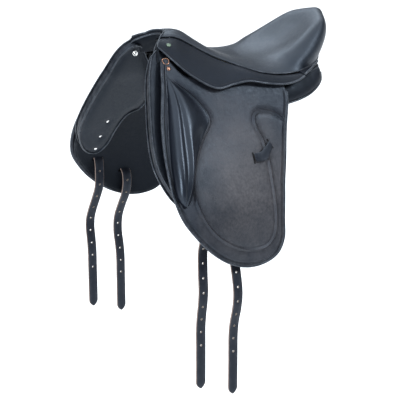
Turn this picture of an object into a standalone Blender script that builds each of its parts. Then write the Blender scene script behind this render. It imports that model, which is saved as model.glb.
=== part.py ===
"""English saddle: a single-flap dressage saddle with a deep seat, outside knee blocks and long girth straps.

Metres, +X towards the pommel, +Y the rider's left, +Z up. The origin is on the centre plane,
on the underside of the gullet lining below the lowest point of the seat.
"""
import math

import bmesh
import bpy
from mathutils import Vector
from mathutils.geometry import delaunay_2d_cdt

# ---------------------------------------------------------------- driving dimensions
LEATHER = 0.0030          # skirt and lining leather
FLAP_T = 0.0045           # flap leather, two plies sewn together
SWEAT_T = 0.0035          # sweat flap leather
STRAP_T = 0.0040          # girth strap leather
STRAP_W = 0.0250          # girth strap width
HOLE_PITCH = 0.0340       # girth strap hole spacing
HOLE_R = 0.0024           # girth strap hole radius
HOLE_COUNT = 9            # holes in each girth strap
LAYER_GAP = 0.0015        # clearance between leather layers
PAD_T = 0.0260            # thickness of the panel's front lobe
BLOCK_T = 0.0290          # height of the knee block
SEAT_FOAM_T = 0.0130      # seat foam thickness
STEEL_T = 0.0030          # head plate thickness

# flap outer surface: distance from the centre plane against height, at the front and at the middle
FLAP_FRONT = [(0.110, 0.068), (0.085, 0.090), (0.060, 0.109), (0.035, 0.127), (0.010, 0.144), (-0.040, 0.175), (-0.090, 0.206),
              (-0.140, 0.239), (-0.190, 0.267), (-0.240, 0.290), (-0.290, 0.305), (-0.340, 0.312), (-0.400, 0.315)]
FLAP_MIDDLE = [(0.110, 0.083), (0.085, 0.103), (0.060, 0.123), (0.035, 0.143), (0.010, 0.162), (-0.040, 0.188), (-0.090, 0.211),
               (-0.140, 0.232), (-0.190, 0.251), (-0.240, 0.268), (-0.290, 0.280), (-0.340, 0.288), (-0.400, 0.293)]

# fold line of the flap: it turns about this line when it is lifted
FOLD_FRONT = Vector((0.265, 0.133, 0.040))
FOLD_REAR = Vector((-0.030, 0.176, -0.005))

# outlines in side view, forward and up
FLAP_OUTLINE = [(-0.034, -0.008), (-0.030, -0.030), (-0.008, -0.090), (0.010, -0.155), (0.025, -0.210),
                (0.037, -0.280), (0.042, -0.328), (0.062, -0.362), (0.100, -0.377), (0.150, -0.375),
                (0.205, -0.353), (0.258, -0.312), (0.297, -0.265), (0.317, -0.230), (0.326, -0.190),
                (0.327, -0.150), (0.323, -0.110), (0.315, -0.070), (0.304, -0.030), (0.291, 0.005),
                (0.279, 0.034), (0.268, 0.0385)]
LOBE_OUTLINE = [(0.168, 0.020), (0.164, -0.050), (0.178, -0.084), (0.204, -0.093), (0.220, -0.110),
                (0.231, -0.145), (0.242, -0.186), (0.262, -0.208), (0.288, -0.206), (0.312, -0.186), (0.329, -0.150),
                (0.338, -0.120), (0.336, -0.080), (0.329, -0.040), (0.318, 0.000), (0.307, 0.036),
                (0.290, 0.0385)]
BLOCK_OUTLINE = [(0.262, 0.027), (0.236, 0.022), (0.205, -0.006), (0.190, -0.040), (0.197, -0.060),
                 (0.223, -0.090), (0.247, -0.124), (0.261, -0.155), (0.277, -0.185), (0.299, -0.198),
                 (0.315, -0.190), (0.319, -0.165), (0.315, -0.120), (0.307, -0.080), (0.296, -0.040),
                 (0.284, -0.005), (0.273, 0.022)]
KEEPER_OUTLINE = [(0.094, -0.128), (0.074, -0.125), (0.047, -0.106), (0.040, -0.121), (0.052, -0.133),
                  (0.066, -0.147), (0.092, -0.146)]
KNEE_SCREWS = [(0.264, -0.106), (0.270, -0.154), (0.273, -0.194)]
SCREW_R = 0.0025

# girth straps: forward position at the slot and at the tip, slot height, tip height, and path across
STRAP_FRONT = {"x": (0.246, 0.268), "slot": -0.252, "tip": -0.668,
               "path": [(-0.260, 0.2735), (-0.290, 0.268), (-0.325, 0.263), (-0.355, 0.270), (-0.385, 0.280),
                        (-0.415, 0.289), (-0.445, 0.290), (-0.475, 0.285), (-0.510, 0.281), (-0.550, 0.281)]}
STRAP_REAR = {"x": (0.168, 0.182), "slot": -0.298, "tip": -0.702,
              "path": [(-0.306, 0.270), (-0.335, 0.266), (-0.365, 0.272), (-0.395, 0.286), (-0.425, 0.298),
                       (-0.450, 0.302), (-0.480, 0.299), (-0.515, 0.290), (-0.550, 0.286), (-0.590, 0.286)]}

# seat: each station runs from the centre line across the dish, the rim and the side to the welt
SEAT_STATIONS = [
    [(0.203, 0.000, 0.1340), (0.208, 0.010, 0.1335), (0.213, 0.018, 0.1325), (0.219, 0.024, 0.1310),
     (0.224, 0.028, 0.1290), (0.229, 0.031, 0.1265)],
    [(0.165, 0.000, 0.1310), (0.170, 0.012, 0.1310), (0.177, 0.022, 0.1300), (0.184, 0.030, 0.1285),
     (0.190, 0.035, 0.1270), (0.195, 0.039, 0.1240)],
    [(0.130, 0.000, 0.1080), (0.134, 0.016, 0.1085), (0.140, 0.032, 0.1085), (0.148, 0.043, 0.1080),
     (0.156, 0.050, 0.1075), (0.162, 0.055, 0.1060)],
    [(0.100, 0.000, 0.0870), (0.103, 0.028, 0.0870), (0.108, 0.050, 0.0870), (0.115, 0.066, 0.0860),
     (0.120, 0.075, 0.0850), (0.125, 0.081, 0.0820)],
    [(0.060, 0.000, 0.0650), (0.061, 0.030, 0.0655), (0.063, 0.057, 0.0655), (0.066, 0.083, 0.0640),
     (0.068, 0.104, 0.0610), (0.070, 0.116, 0.0570)],
    [(0.020, 0.000, 0.0500), (0.020, 0.030, 0.0510), (0.020, 0.058, 0.0520), (0.020, 0.088, 0.0500),
     (0.020, 0.117, 0.0455), (0.020, 0.137, 0.0385)],
    [(-0.020, 0.000, 0.0435), (-0.020, 0.030, 0.0450), (-0.021, 0.060, 0.0475), (-0.022, 0.090, 0.0455),
     (-0.023, 0.118, 0.0400), (-0.024, 0.139, 0.0285)],
    [(-0.060, 0.000, 0.0470), (-0.061, 0.032, 0.0490), (-0.063, 0.066, 0.0530), (-0.065, 0.094, 0.0510),
     (-0.067, 0.122, 0.0410), (-0.069, 0.140, 0.0255)],
    [(-0.100, 0.000, 0.0600), (-0.100, 0.036, 0.0630), (-0.101, 0.072, 0.0700), (-0.102, 0.098, 0.0680),
     (-0.103, 0.124, 0.0530), (-0.105, 0.135, 0.0270)],
    [(-0.100, 0.000, 0.0600), (-0.122, 0.036, 0.0720), (-0.144, 0.073, 0.0930), (-0.158, 0.096, 0.0910),
     (-0.164, 0.109, 0.0640), (-0.159, 0.106, 0.0310)],
    [(-0.100, 0.000, 0.0600), (-0.142, 0.025, 0.0820), (-0.194, 0.058, 0.1220), (-0.214, 0.070, 0.1170),
     (-0.217, 0.070, 0.0810), (-0.199, 0.062, 0.0340)],
    [(-0.100, 0.000, 0.0600), (-0.152, 0.000, 0.0860), (-0.224, 0.000, 0.1380), (-0.249, 0.000, 0.1270),
     (-0.252, 0.000, 0.0850), (-0.224, 0.000, 0.0300)],
]

# skirt: upper seam, belly and lower edge, from the pommel back to the cantle
SKIRT_STATIONS = [
    [(0.2310, 0.0325, 0.1245), (0.2430, 0.0470, 0.1190), (0.2530, 0.0620, 0.1120)],
    [(0.1970, 0.0410, 0.1220), (0.2180, 0.0710, 0.1090), (0.2345, 0.1010, 0.0865)],
    [(0.1640, 0.0570, 0.1040), (0.1870, 0.0930, 0.0850), (0.2045, 0.1310, 0.0545)],
    [(0.1260, 0.083, 0.0800), (0.1420, 0.117, 0.0590), (0.1550, 0.161, 0.0240)],
    [(0.0960, 0.104, 0.0650), (0.1010, 0.128, 0.0490), (0.1060, 0.163, 0.0270)],
    [(0.0600, 0.1235, 0.0520), (0.0630, 0.144, 0.0440), (0.0670, 0.167, 0.0300)],
    [(0.0200, 0.139, 0.0365), (0.0210, 0.156, 0.0310), (0.0220, 0.173, 0.0200)],
    [(-0.0280, 0.142, 0.0255), (-0.0270, 0.158, 0.0212), (-0.0270, 0.175, 0.0120)],
    [(-0.0740, 0.143, 0.0225), (-0.0720, 0.156, 0.0200), (-0.0700, 0.171, 0.0155)],
    [(-0.1090, 0.136, 0.0240), (-0.1100, 0.147, 0.0270), (-0.1110, 0.158, 0.0310)],
    [(-0.1420, 0.127, 0.0300), (-0.1440, 0.134, 0.0360), (-0.1460, 0.139, 0.0430)],
]
SKIRT_FOLD_FRONT = Vector((0.2460, 0.0840, 0.1060))
SKIRT_FOLD_REAR = Vector((0.0620, 0.1520, 0.0440))
SKIRT_FOLD_STATIONS = 5.0   # the skirt is free to lift as far back as this station

# ---------------------------------------------------------------- collections
for old in list(bpy.data.objects):
    bpy.data.objects.remove(old, do_unlink=True)
PARTS = bpy.data.collections.new("english_saddle")
bpy.context.scene.collection.children.link(PARTS)


# ---------------------------------------------------------------- curves and surfaces
def catmull(a, b, c, d, t):
    """Point between b and c at t on a Catmull-Rom curve."""
    return 0.5 * ((2 * b) + (c - a) * t + (2 * a - 5 * b + 4 * c - d) * t * t
                  + (3 * b - a - 3 * c + d) * t * t * t)


def along(points, u):
    """Smooth curve through a list of Vectors at the index u, which may lie between two of them."""
    last = len(points) - 1
    u = min(max(u, 0.0), float(last))
    i = min(int(u), last - 1)
    a = points[i - 1] if i > 0 else points[0] * 2 - points[1]
    d = points[i + 2] if i + 2 <= last else points[last] * 2 - points[last - 1]
    return catmull(a, points[i], points[i + 1], d, u - i)


def profile(table, x):
    """Smooth value of a table of (x, value) rows whose x falls steadily."""
    rows = table if table[0][0] < table[-1][0] else table[::-1]
    if x <= rows[0][0]:
        slope = (rows[1][1] - rows[0][1]) / (rows[1][0] - rows[0][0])
        return rows[0][1] + slope * (x - rows[0][0])
    if x >= rows[-1][0]:
        slope = (rows[-1][1] - rows[-2][1]) / (rows[-1][0] - rows[-2][0])
        return rows[-1][1] + slope * (x - rows[-1][0])
    k = 0
    while rows[k + 1][0] < x:
        k += 1
    points = [Vector((r[0], r[1], 0.0)) for r in rows]
    t = (x - rows[k][0]) / (rows[k + 1][0] - rows[k][0])
    return along(points, k + t).y


def smooth(t):
    """Smooth step from 0 to 1."""
    t = min(max(t, 0.0), 1.0)
    return t * t * (3 - 2 * t)


def flap_y(x, z):
    """Outer surface of the flap: distance from the centre plane."""
    w = smooth((x - 0.05) / 0.25)
    return profile(FLAP_FRONT, z) * w + profile(FLAP_MIDDLE, z) * (1 - w)


def flap_normal(x, z):
    """Outward normal of the flap's surface."""
    e = 0.004
    dx = (flap_y(x + e, z) - flap_y(x - e, z)) / (2 * e)
    dz = (flap_y(x, z + e) - flap_y(x, z - e)) / (2 * e)
    return Vector((-dx, 1.0, -dz)).normalized()


def on_flap(x, z, off):
    """Point at a distance off outside the flap's surface (negative is towards the horse)."""
    return Vector((x, flap_y(x, z), z)) + flap_normal(x, z) * off


def fold_z(x):
    """Height of the flap's fold line."""
    t = (FOLD_FRONT.x - x) / (FOLD_FRONT.x - FOLD_REAR.x)
    return FOLD_FRONT.z + (FOLD_REAR.z - FOLD_FRONT.z) * t


# ---------------------------------------------------------------- closed bodies
class Body:
    """Vertices welded as they are added, so that grids may meet or come to a point."""

    def __init__(self):
        self.points = []
        self.index = {}
        self.faces = []

    def add(self, p):
        key = (round(p.x, 6), round(p.y, 6), round(p.z, 6))
        if key not in self.index:
            self.index[key] = len(self.points)
            self.points.append(Vector(key))
        return self.index[key]

    def face(self, corners):
        ids = []
        for p in corners:
            i = self.add(p)
            if i not in ids:
                ids.append(i)
        if len(ids) > 2:
            self.faces.append(ids)

    def grid(self, rows):
        for r in range(len(rows) - 1):
            for c in range(len(rows[r]) - 1):
                self.face([rows[r][c], rows[r][c + 1], rows[r + 1][c + 1], rows[r + 1][c]])

    def finish(self, name, mirrored=False):
        mesh = bpy.data.meshes.new(name)
        mesh.from_pydata([p[:] for p in self.points], [], self.faces)
        bm = bmesh.new()
        bm.from_mesh(mesh)
        bmesh.ops.triangulate(bm, faces=bm.faces[:])
        if mirrored:
            for v in bm.verts:
                v.co.y = -v.co.y
        bmesh.ops.recalc_face_normals(bm, faces=bm.faces[:])
        if bm.calc_volume(signed=True) < 0:
            bmesh.ops.reverse_faces(bm, faces=bm.faces[:])
        bm.to_mesh(mesh)
        bm.free()
        obj = bpy.data.objects.new(name, mesh)
        PARTS.objects.link(obj)
        return obj


def both(stem, make):
    """The same body on the rider's left and, mirrored, on the right."""
    body = make()
    body.finish(stem + "_L")
    body.finish(stem + "_R", mirrored=True)


def shell(outer, inner, wrap=False):
    """Closed body between two matching grids of points."""
    body = Body()
    body.grid(outer)
    body.grid(inner)
    body.grid([outer[0], inner[0]])
    body.grid([outer[-1], inner[-1]])
    if not wrap:
        body.grid([[r[0] for r in outer], [r[0] for r in inner]])
        body.grid([[r[-1] for r in outer], [r[-1] for r in inner]])
    return body


def loft(rings):
    """Closed body through a row of closed rings, capped at both ends."""
    body = Body()
    body.grid([r + [r[0]] for r in rings])
    for ring in (rings[0], rings[-1]):
        middle = sum(ring, Vector()) / len(ring)
        for i, p in enumerate(ring):
            body.face([p, ring[(i + 1) % len(ring)], middle])
    return body


def hoop(rings):
    """Closed body through rings that come back to the first one."""
    body = Body()
    closed = rings + [rings[0]]
    body.grid([r + [r[0]] for r in closed])
    return body


def disc(centre, axis, steps, sides=12):
    """Turned body about an axis: steps are (distance along, radius)."""
    axis = axis.normalized()
    side = axis.orthogonal().normalized()
    other = axis.cross(side)
    rings = []
    for d, r in steps:
        ring = []
        for k in range(sides):
            a = 2 * math.pi * k / sides
            ring.append(centre + axis * d + side * (r * math.cos(a)) + other * (r * math.sin(a)))
        rings.append(ring)
    return loft(rings)


def bar(points, width, height, up):
    """Rectangular bar along a row of points; up is the direction of its height."""
    rings = []
    for i, p in enumerate(points):
        a = points[max(i - 1, 0)]
        b = points[min(i + 1, len(points) - 1)]
        run = (b - a).normalized()
        side = up.cross(run).normalized() * (width / 2)
        rise = run.cross(side).normalized() * (height / 2)
        rings.append([p + side + rise, p - side + rise, p - side - rise, p + side - rise])
    return rings


# ---------------------------------------------------------------- flat patterns
def smooth_outline(points, spacing, sharp=()):
    """Closed smooth line through points, cut at an even spacing; sharp lists corners kept square."""
    n = len(points)
    pts = [Vector((p[0], p[1], 0.0)) for p in points]
    out = []
    for i in range(n):
        b = pts[i]
        c = pts[(i + 1) % n]
        a = pts[i - 1] if i not in sharp else b * 2 - c
        d = pts[(i + 2) % n] if (i + 1) % n not in sharp else c * 2 - b
        cuts = max(1, int(round((c - b).length / spacing)))
        for k in range(cuts):
            q = catmull(a, b, c, d, k / cuts)
            out.append((q.x, q.y))
    return out


def inside(loop, x, y):
    """True where a point lies inside a closed line."""
    hit = False
    for i, (x1, y1) in enumerate(loop):
        x2, y2 = loop[i - 1]
        if (y1 > y) != (y2 > y) and x < (x2 - x1) * (y - y1) / (y2 - y1) + x1:
            hit = not hit
    return hit


def edge_distance(loop, x, y):
    """Distance of a point from a closed line."""
    best = 1.0
    for i, (x1, y1) in enumerate(loop):
        x2, y2 = loop[i - 1]
        dx, dy = x2 - x1, y2 - y1
        t = ((x - x1) * dx + (y - y1) * dy) / max(dx * dx + dy * dy, 1e-12)
        t = min(max(t, 0.0), 1.0)
        best = min(best, math.hypot(x - x1 - dx * t, y - y1 - dy * t))
    return best


def pattern(loop, step, holes=(), extra=()):
    """Points and triangles of a flat piece of leather with holes cut through it."""
    loops = [loop] + list(holes)
    points, edges = [], []
    for line in loops:
        start = len(points)
        points += [Vector(p) for p in line]
        edges += [(start + i, start + (i + 1) % len(line)) for i in range(len(line))]
    xs = [p[0] for p in loop]
    ys = [p[1] for p in loop]
    rows = int((max(ys) - min(ys)) / step) + 2
    cols = int((max(xs) - min(xs)) / step) + 2
    for r in range(rows):
        for c in range(cols):
            x = min(xs) + (c + 0.5 * (r % 2)) * step
            y = min(ys) + r * step
            clear = inside(loop, x, y) and edge_distance(loop, x, y) > 0.4 * step
            for line in holes:
                if inside(line, x, y) or edge_distance(line, x, y) < 0.3 * step:
                    clear = False
            if clear:
                points.append(Vector((x, y)))
    for p in extra:
        points.append(Vector(p))
    made = delaunay_2d_cdt(points, edges, [], 0, 1e-7)
    verts, faces = made[0], made[2]
    kept = []
    for f in faces:
        cx = sum(verts[i].x for i in f) / len(f)
        cy = sum(verts[i].y for i in f) / len(f)
        if inside(loop, cx, cy) and not any(inside(line, cx, cy) for line in holes):
            kept.append(list(f))
    return [(v.x, v.y) for v in verts], kept


def cut_piece(loop, step, outer, inner, holes=(), extra=()):
    """Closed body cut to a flat pattern; outer and inner place its two faces in space."""
    verts, faces = pattern(loop, step, holes, extra)
    body = Body()
    top = [outer(x, y) for x, y in verts]
    low = [inner(x, y) for x, y in verts]
    count = {}
    for f in faces:
        body.face([top[i] for i in f])
        body.face([low[i] for i in reversed(f)])
        for k in range(len(f)):
            pair = (f[k], f[(k + 1) % len(f)])
            key = (min(pair), max(pair))
            count.setdefault(key, []).append(pair)
    for pairs in count.values():
        if len(pairs) == 1:
            a, b = pairs[0]
            body.face([top[a], low[a], low[b], top[b]])
    return body


def ring(x, y, r, sides=10):
    """Small round hole in a flat pattern."""
    out = []
    for k in range(sides):
        a = 2 * math.pi * k / sides
        out.append((x + r * math.cos(a), y + r * math.sin(a)))
    return out


def rounded(d, r):
    """Share of full thickness at a distance d from a rounded edge of radius r."""
    t = 1 - min(d / r, 1.0)
    return math.sqrt(max(0.0, 1 - t * t))


# ---------------------------------------------------------------- seat
SEAT = [[Vector(p) for p in row] for row in SEAT_STATIONS]
FAN = 8                    # stations from this one turn about the same centre point


def seat_point(s, t):
    """Seat top: s counts stations from the pommel, t runs 0 to 5 from the centre to the welt."""
    cross = [along([row[k] for row in SEAT], s) for k in range(6)]
    if s >= FAN:
        cross[0] = SEAT[FAN][0]
    return along(cross, t)


def thicken(sheet, outside, depth):
    """Closed body between a sheet of faces, moved in by outside, and the same sheet moved in by depth."""
    bm = bmesh.new()
    for p in sheet.points:
        bm.verts.new(p)
    bm.verts.ensure_lookup_table()
    for f in sheet.faces:
        bm.faces.new([bm.verts[i] for i in f])
    bmesh.ops.triangulate(bm, faces=bm.faces[:])
    bmesh.ops.recalc_face_normals(bm, faces=bm.faces[:])
    if sum(f.normal.z * f.calc_area() for f in bm.faces) < 0:
        bmesh.ops.reverse_faces(bm, faces=bm.faces[:])
    bm.normal_update()
    top = [v.co - v.normal * outside for v in bm.verts]
    low = [v.co - v.normal * depth for v in bm.verts]
    bm.verts.index_update()
    body = Body()
    for f in bm.faces:
        ids = [v.index for v in f.verts]
        body.face([top[i] for i in ids])
        body.face([low[i] for i in reversed(ids)])
    for e in bm.edges:
        if len(e.link_faces) == 1:
            a, b = e.verts[0].index, e.verts[1].index
            body.face([top[a], top[b], low[b], low[a]])
    bm.free()
    return body


def mirror_rows(rows):
    return [[Vector((p.x, -p.y, p.z)) for p in row] for row in rows]


def seat_sheet(stations, across):
    """Open sheet over the seat top, both halves."""
    rows = []
    for s in stations:
        row = [seat_point(s, t) for t in across]
        if across[0] == 0:
            row[0].y = 0.0
        if s > 10.999:
            for p in row:
                p.y = 0.0
        rows.append(row)
    body = Body()
    body.grid(rows)
    body.grid(mirror_rows(rows))
    return body


cover_s = [0, 0.5, 1, 1.5, 2, 2.5, 3, 3.5, 4, 4.5, 5, 5.5, 6, 6.5, 7, 7.5, 8, 8.5, 9, 9.5, 10, 10.5, 11]
cover_t = [0, 0.5, 1, 1.5, 2, 2.5, 3, 3.5, 4, 4.5, 5]
thicken(seat_sheet(cover_s, cover_t), 0.0, 0.0022).finish("seat_cover")
foam_s = [1.8, 2, 2.5, 3, 3.5, 4, 4.5, 5, 5.5, 6, 6.5, 7, 7.5, 8, 8.5, 9, 9.5, 10, 10.5, 11]
foam_t = [0, 0.5, 1, 1.5, 2, 2.5]
thicken(seat_sheet(foam_s, foam_t), 0.0040, 0.0040 + SEAT_FOAM_T).finish("seat_foam")

# seat webbing: a strained strip from pommel to cantle under the foam
web_rows_top, web_rows_low = [], []
for s in [2.6, 3, 3.5, 4, 4.5, 5, 5.5, 6, 6.5, 7, 7.5, 8]:
    centre = seat_point(s, 0)
    for rows, drop in ((web_rows_top, 0.0230), (web_rows_low, 0.0250)):
        rows.append([Vector((centre.x, y, centre.z - drop)) for y in (-0.026, -0.009, 0.009, 0.026)])
shell(web_rows_top, web_rows_low).finish("seat_webbing")

# ---------------------------------------------------------------- tree
TREE_PATH = [(0.176, 0.000, 0.0960), (0.164, 0.028, 0.0860), (0.130, 0.052, 0.0640), (0.085, 0.064, 0.0380),
             (0.035, 0.071, 0.0230), (-0.020, 0.076, 0.0170), (-0.075, 0.078, 0.0240), (-0.125, 0.072, 0.0420),
             (-0.165, 0.050, 0.0600), (-0.182, 0.000, 0.0680)]
half = [Vector(p) for p in TREE_PATH]
full = half + [Vector((p.x, -p.y, p.z)) for p in half[-2:0:-1]]
tree_rings = []
for i, p in enumerate(full):
    before, after = full[i - 1], full[(i + 1) % len(full)]
    run = (after - before).normalized()
    side = Vector((0, 0, 1)).cross(run).normalized()
    rise = run.cross(side).normalized() * 0.0040
    side = side * 0.0120
    tree_rings.append([p + side + rise, p - side + rise, p - side - rise, p + side - rise])
hoop(tree_rings).finish("tree_frame")

# steel head plate: an arch over the withers just ahead of the tree's front
HEAD_PATH = [(0.206, 0.061, 0.0760), (0.206, 0.053, 0.0870), (0.205, 0.036, 0.1000), (0.203, 0.016, 0.1080),
             (0.203, 0.000, 0.1100)]
half = [Vector(p) for p in HEAD_PATH]
path = half + [Vector((p.x, -p.y, p.z)) for p in half[-2::-1]]
rings = []
for i, p in enumerate(path):
    run = (path[min(i + 1, len(path) - 1)] - path[max(i - 1, 0)]).normalized()
    fore = Vector((0.009, 0, 0))
    out = Vector((1, 0, 0)).cross(run).normalized() * (STEEL_T / 2)
    rings.append([p + fore + out, p - fore + out, p - fore - out, p + fore - out])
loft(rings).finish("head_plate")

# gullet lining: leather along the centre under the tree
rows_top, rows_low = [], []
for x, z in [(0.150, 0.066), (0.120, 0.050), (0.080, 0.028), (0.040, 0.010), (0.000, 0.000), (-0.040, 0.000),
             (-0.080, 0.008), (-0.120, 0.022), (-0.160, 0.038)]:
    rows_top.append([Vector((x, y, z + 0.0025)) for y in (-0.036, -0.012, 0.012, 0.036)])
    rows_low.append([Vector((x, y, z)) for y in (-0.036, -0.012, 0.012, 0.036)])
shell(rows_top, rows_low).finish("gullet_lining")

# pommel facing: the lined front of the arch, from the front piping back into the gullet
FACING_FRONT = [(0.262, 0.0600, 0.094), (0.256, 0.0520, 0.1030), (0.243, 0.0390, 0.1125),
                (0.229, 0.0260, 0.1195), (0.217, 0.0130, 0.1240), (0.212, 0.0000, 0.1255)]
half = [Vector(p) for p in FACING_FRONT]
arch = half + [Vector((p.x, -p.y, p.z)) for p in half[-2::-1]]
centre = Vector((0.22, 0.0, 0.05))
front_rows, back_rows = [], []
for depth, shrink in ((0.0, 0.0), (-0.012, 0.0015), (-0.026, 0.004)):
    front_rows.append([p + Vector((depth, -shrink * p.y / 0.07, -shrink)) for p in arch])
    back_rows.append([p + Vector((depth, 0, 0)) + Vector((0, -0.0030 * p.y / 0.07 - shrink * p.y / 0.07,
                                                          -0.0030 * (p.z - 0.04) / 0.086 - shrink)) for p in arch])
shell(front_rows, back_rows).finish("pommel_facing")

# ---------------------------------------------------------------- skirts
SKIRT = [[Vector(p) for p in row] for row in SKIRT_STATIONS]


def skirt_point(s, t):
    """Skirt outer face: s counts stations, t runs 0 to 2 from the seam to the free edge."""
    cross = [along([row[k] for row in SKIRT], s) for k in range(3)]
    return along(cross, t)


def skirt_in(s, t):
    """Direction from the skirt's face towards the tree."""
    e = 0.05
    a = skirt_point(min(s + e, 10), t) - skirt_point(max(s - e, 0), t)
    b = skirt_point(s, min(t + e, 2)) - skirt_point(s, max(t - e, 0))
    n = a.cross(b).normalized()
    return -n if n.y > 0 else n


def skirt_fold(s):
    """Where the skirt crosses its fold line."""
    line = (SKIRT_FOLD_REAR - SKIRT_FOLD_FRONT).normalized()
    best, best_t = 1.0, 1.0
    for k in range(81):
        t = 0.4 + 1.5 * k / 80
        away = skirt_point(s, t) - SKIRT_FOLD_FRONT
        gap = (away - line * away.dot(line)).length
        if gap < best:
            best, best_t = gap, t
    return best_t


def skirt_band():
    """The sewn-down part of the skirt; behind the fold it is the whole skirt."""
    outer, inner = [], []
    for k in range(29):
        s = 10.0 * k / 28
        end = 2.0
        if s < SKIRT_FOLD_STATIONS + 0.2:
            end = skirt_fold(s) - 0.05
        orow, irow = [], []
        for j in range(6):
            t = end * j / 5
            p = skirt_point(s, t)
            orow.append(p)
            irow.append(p + skirt_in(s, t) * LEATHER)
        outer.append(orow)
        inner.append(irow)
    return shell(outer, inner)


def skirt_lobe():
    """The free part of the skirt over the stirrup bar."""
    outer, inner = [], []
    for k in range(17):
        s = 4.85 * k / 16
        start = min(skirt_fold(s) + 0.07, 1.9)
        orow, irow = [], []
        for j in range(5):
            t = start + (2.0 - start) * j / 4
            p = skirt_point(s, t)
            orow.append(p)
            irow.append(p + skirt_in(s, t) * LEATHER)
        outer.append(orow)
        inner.append(irow)
    return shell(outer, inner)


both("skirt_band", skirt_band)
both("skirt_lobe", skirt_lobe)

# ---------------------------------------------------------------- flap and its layers
FLAP_LOOP = smooth_outline(FLAP_OUTLINE, 0.028, sharp=(0, 21))
screw_holes = [ring(x, z, SCREW_R + 0.0006, 8) for x, z in KNEE_SCREWS]
OFF_ROOT = -(FLAP_T + LAYER_GAP)
OFF_SWEAT = OFF_ROOT - STRAP_T - LAYER_GAP
OFF_LOBE = OFF_SWEAT - SWEAT_T - LAYER_GAP


def flap():
    return cut_piece(FLAP_LOOP, 0.036, lambda x, z: on_flap(x, z, 0.0), lambda x, z: on_flap(x, z, -FLAP_T),
                     screw_holes)


def slot(strap):
    """Opening in the sweat flap for a girth strap."""
    x = strap["x"][0]
    z = strap["slot"]
    w = STRAP_W / 2 + 0.0025
    return [(x - w, z - 0.0035), (x + w, z - 0.0035), (x + w, z + 0.0035), (x - w, z + 0.0035)]


def sweat_flap():
    inset = []
    cx, cz = 0.15, -0.17
    for x, z in FLAP_LOOP:
        d = math.hypot(x - cx, z - cz)
        inset.append((x + (cx - x) * 0.004 / d, z + (cz - z) * 0.004 / d))
    return cut_piece(inset, 0.036, lambda x, z: on_flap(x, z, OFF_SWEAT),
                     lambda x, z: on_flap(x, z, OFF_SWEAT - SWEAT_T),
                     screw_holes + [slot(STRAP_FRONT), slot(STRAP_REAR)])


LOBE_LOOP = smooth_outline(LOBE_OUTLINE, 0.022, sharp=(0, 16))


def lobe_depth(x, z):
    """Thickness of the panel's front lobe."""
    d = edge_distance(LOBE_LOOP, x, z)
    return PAD_T * (0.45 + 0.55 * rounded(d, 0.014))


def panel_lobe():
    extra = []
    return cut_piece(LOBE_LOOP, 0.018, lambda x, z: on_flap(x, z, OFF_LOBE),
                     lambda x, z: on_flap(x, z, OFF_LOBE - lobe_depth(x, z)), screw_holes, extra)


BLOCK_LOOP = smooth_outline(BLOCK_OUTLINE, 0.014, sharp=())


def block_height(x, z):
    """Height of the knee block above the flap: a rounded roll with a shallow groove down it."""
    d = edge_distance(BLOCK_LOOP, x, z)
    line = 0.262 + 0.24 * (0.0 - z)
    groove = math.exp(-((x - line) / 0.007) ** 2)
    return 0.004 + (BLOCK_T - 0.004) * rounded(d, 0.030) - 0.0045 * groove * rounded(d, 0.025)


def knee_block():
    return cut_piece(BLOCK_LOOP, 0.010, lambda x, z: on_flap(x, z, 0.0012 + block_height(x, z)),
                     lambda x, z: on_flap(x, z, 0.0012))


def keeper():
    loop = smooth_outline(KEEPER_OUTLINE, 0.010, sharp=(0, 2, 3, 6))

    def lift(x, z):
        return 0.0015 + 0.0040 * rounded(min(abs(x - 0.040), abs(0.094 - x)), 0.020)
    return cut_piece(loop, 0.009, lambda x, z: on_flap(x, z, lift(x, z) + 0.0025),
                     lambda x, z: on_flap(x, z, lift(x, z)))


def strap_root(strap):
    """The sewn part of a girth strap between the flap's layers."""
    x = strap["x"][0]
    w = STRAP_W / 2
    low, high = strap["slot"] - 0.0100, -0.025
    count = 8
    loop = [(x - w, low + (high - low) * k / count) for k in range(count + 1)]
    loop += [(x + w, high + (low - high) * k / count) for k in range(count + 1)]
    return cut_piece(loop, 0.03, lambda a, b: on_flap(a, b, OFF_ROOT), lambda a, b: on_flap(a, b, OFF_ROOT - STRAP_T))


both("flap", flap)
both("sweat_flap", sweat_flap)
both("panel_lobe", panel_lobe)
both("knee_block", knee_block)
both("keeper", keeper)
both("strap_root_front", lambda: strap_root(STRAP_FRONT))
both("strap_root_rear", lambda: strap_root(STRAP_REAR))


def knee_screw(x, z):
    """Countersunk-washer screw through the lobe and the flap into the knee block."""
    n = flap_normal(x, z)
    face = OFF_LOBE - lobe_depth(x, z)
    base = on_flap(x, z, 0.0)
    steps = [(face - 0.0030, 0.0016), (face - 0.0026, 0.0036), (face - 0.0012, 0.0048), (face - 0.0006, 0.0048),
             (face - 0.0006, SCREW_R), (0.0004, SCREW_R)]
    return disc(base, n, steps, 12)


for number, (sx, sz) in enumerate(KNEE_SCREWS):
    both("knee_screw_%d" % (number + 1), lambda: knee_screw(sx, sz))


# the strip of flap above the fold, nailed to the tree under the skirt
def flap_top():
    outline = [(-0.030, 0.001), (-0.030, 0.010), (0.060, 0.024), (0.140, 0.034), (0.205, 0.044), (0.222, 0.060),
               (0.238, 0.078), (0.262, 0.078), (0.268, 0.0455), (0.200, 0.0345), (0.130, 0.0245), (0.050, 0.0135)]
    loop = []
    for i, (x, z) in enumerate(outline):
        x2, z2 = outline[(i + 1) % len(outline)]
        cuts = max(1, int(math.hypot(x2 - x, z2 - z) / 0.022))
        loop += [(x + (x2 - x) * k / cuts, z + (z2 - z) * k / cuts) for k in range(cuts)]

    def tuck(x):
        return -0.0020 - 0.0180 * smooth((0.240 - x) / 0.035)
    return cut_piece(loop, 0.02, lambda x, z: on_flap(x, z, tuck(x)), lambda x, z: on_flap(x, z, tuck(x) - LEATHER))


both("flap_top", flap_top)


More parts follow.
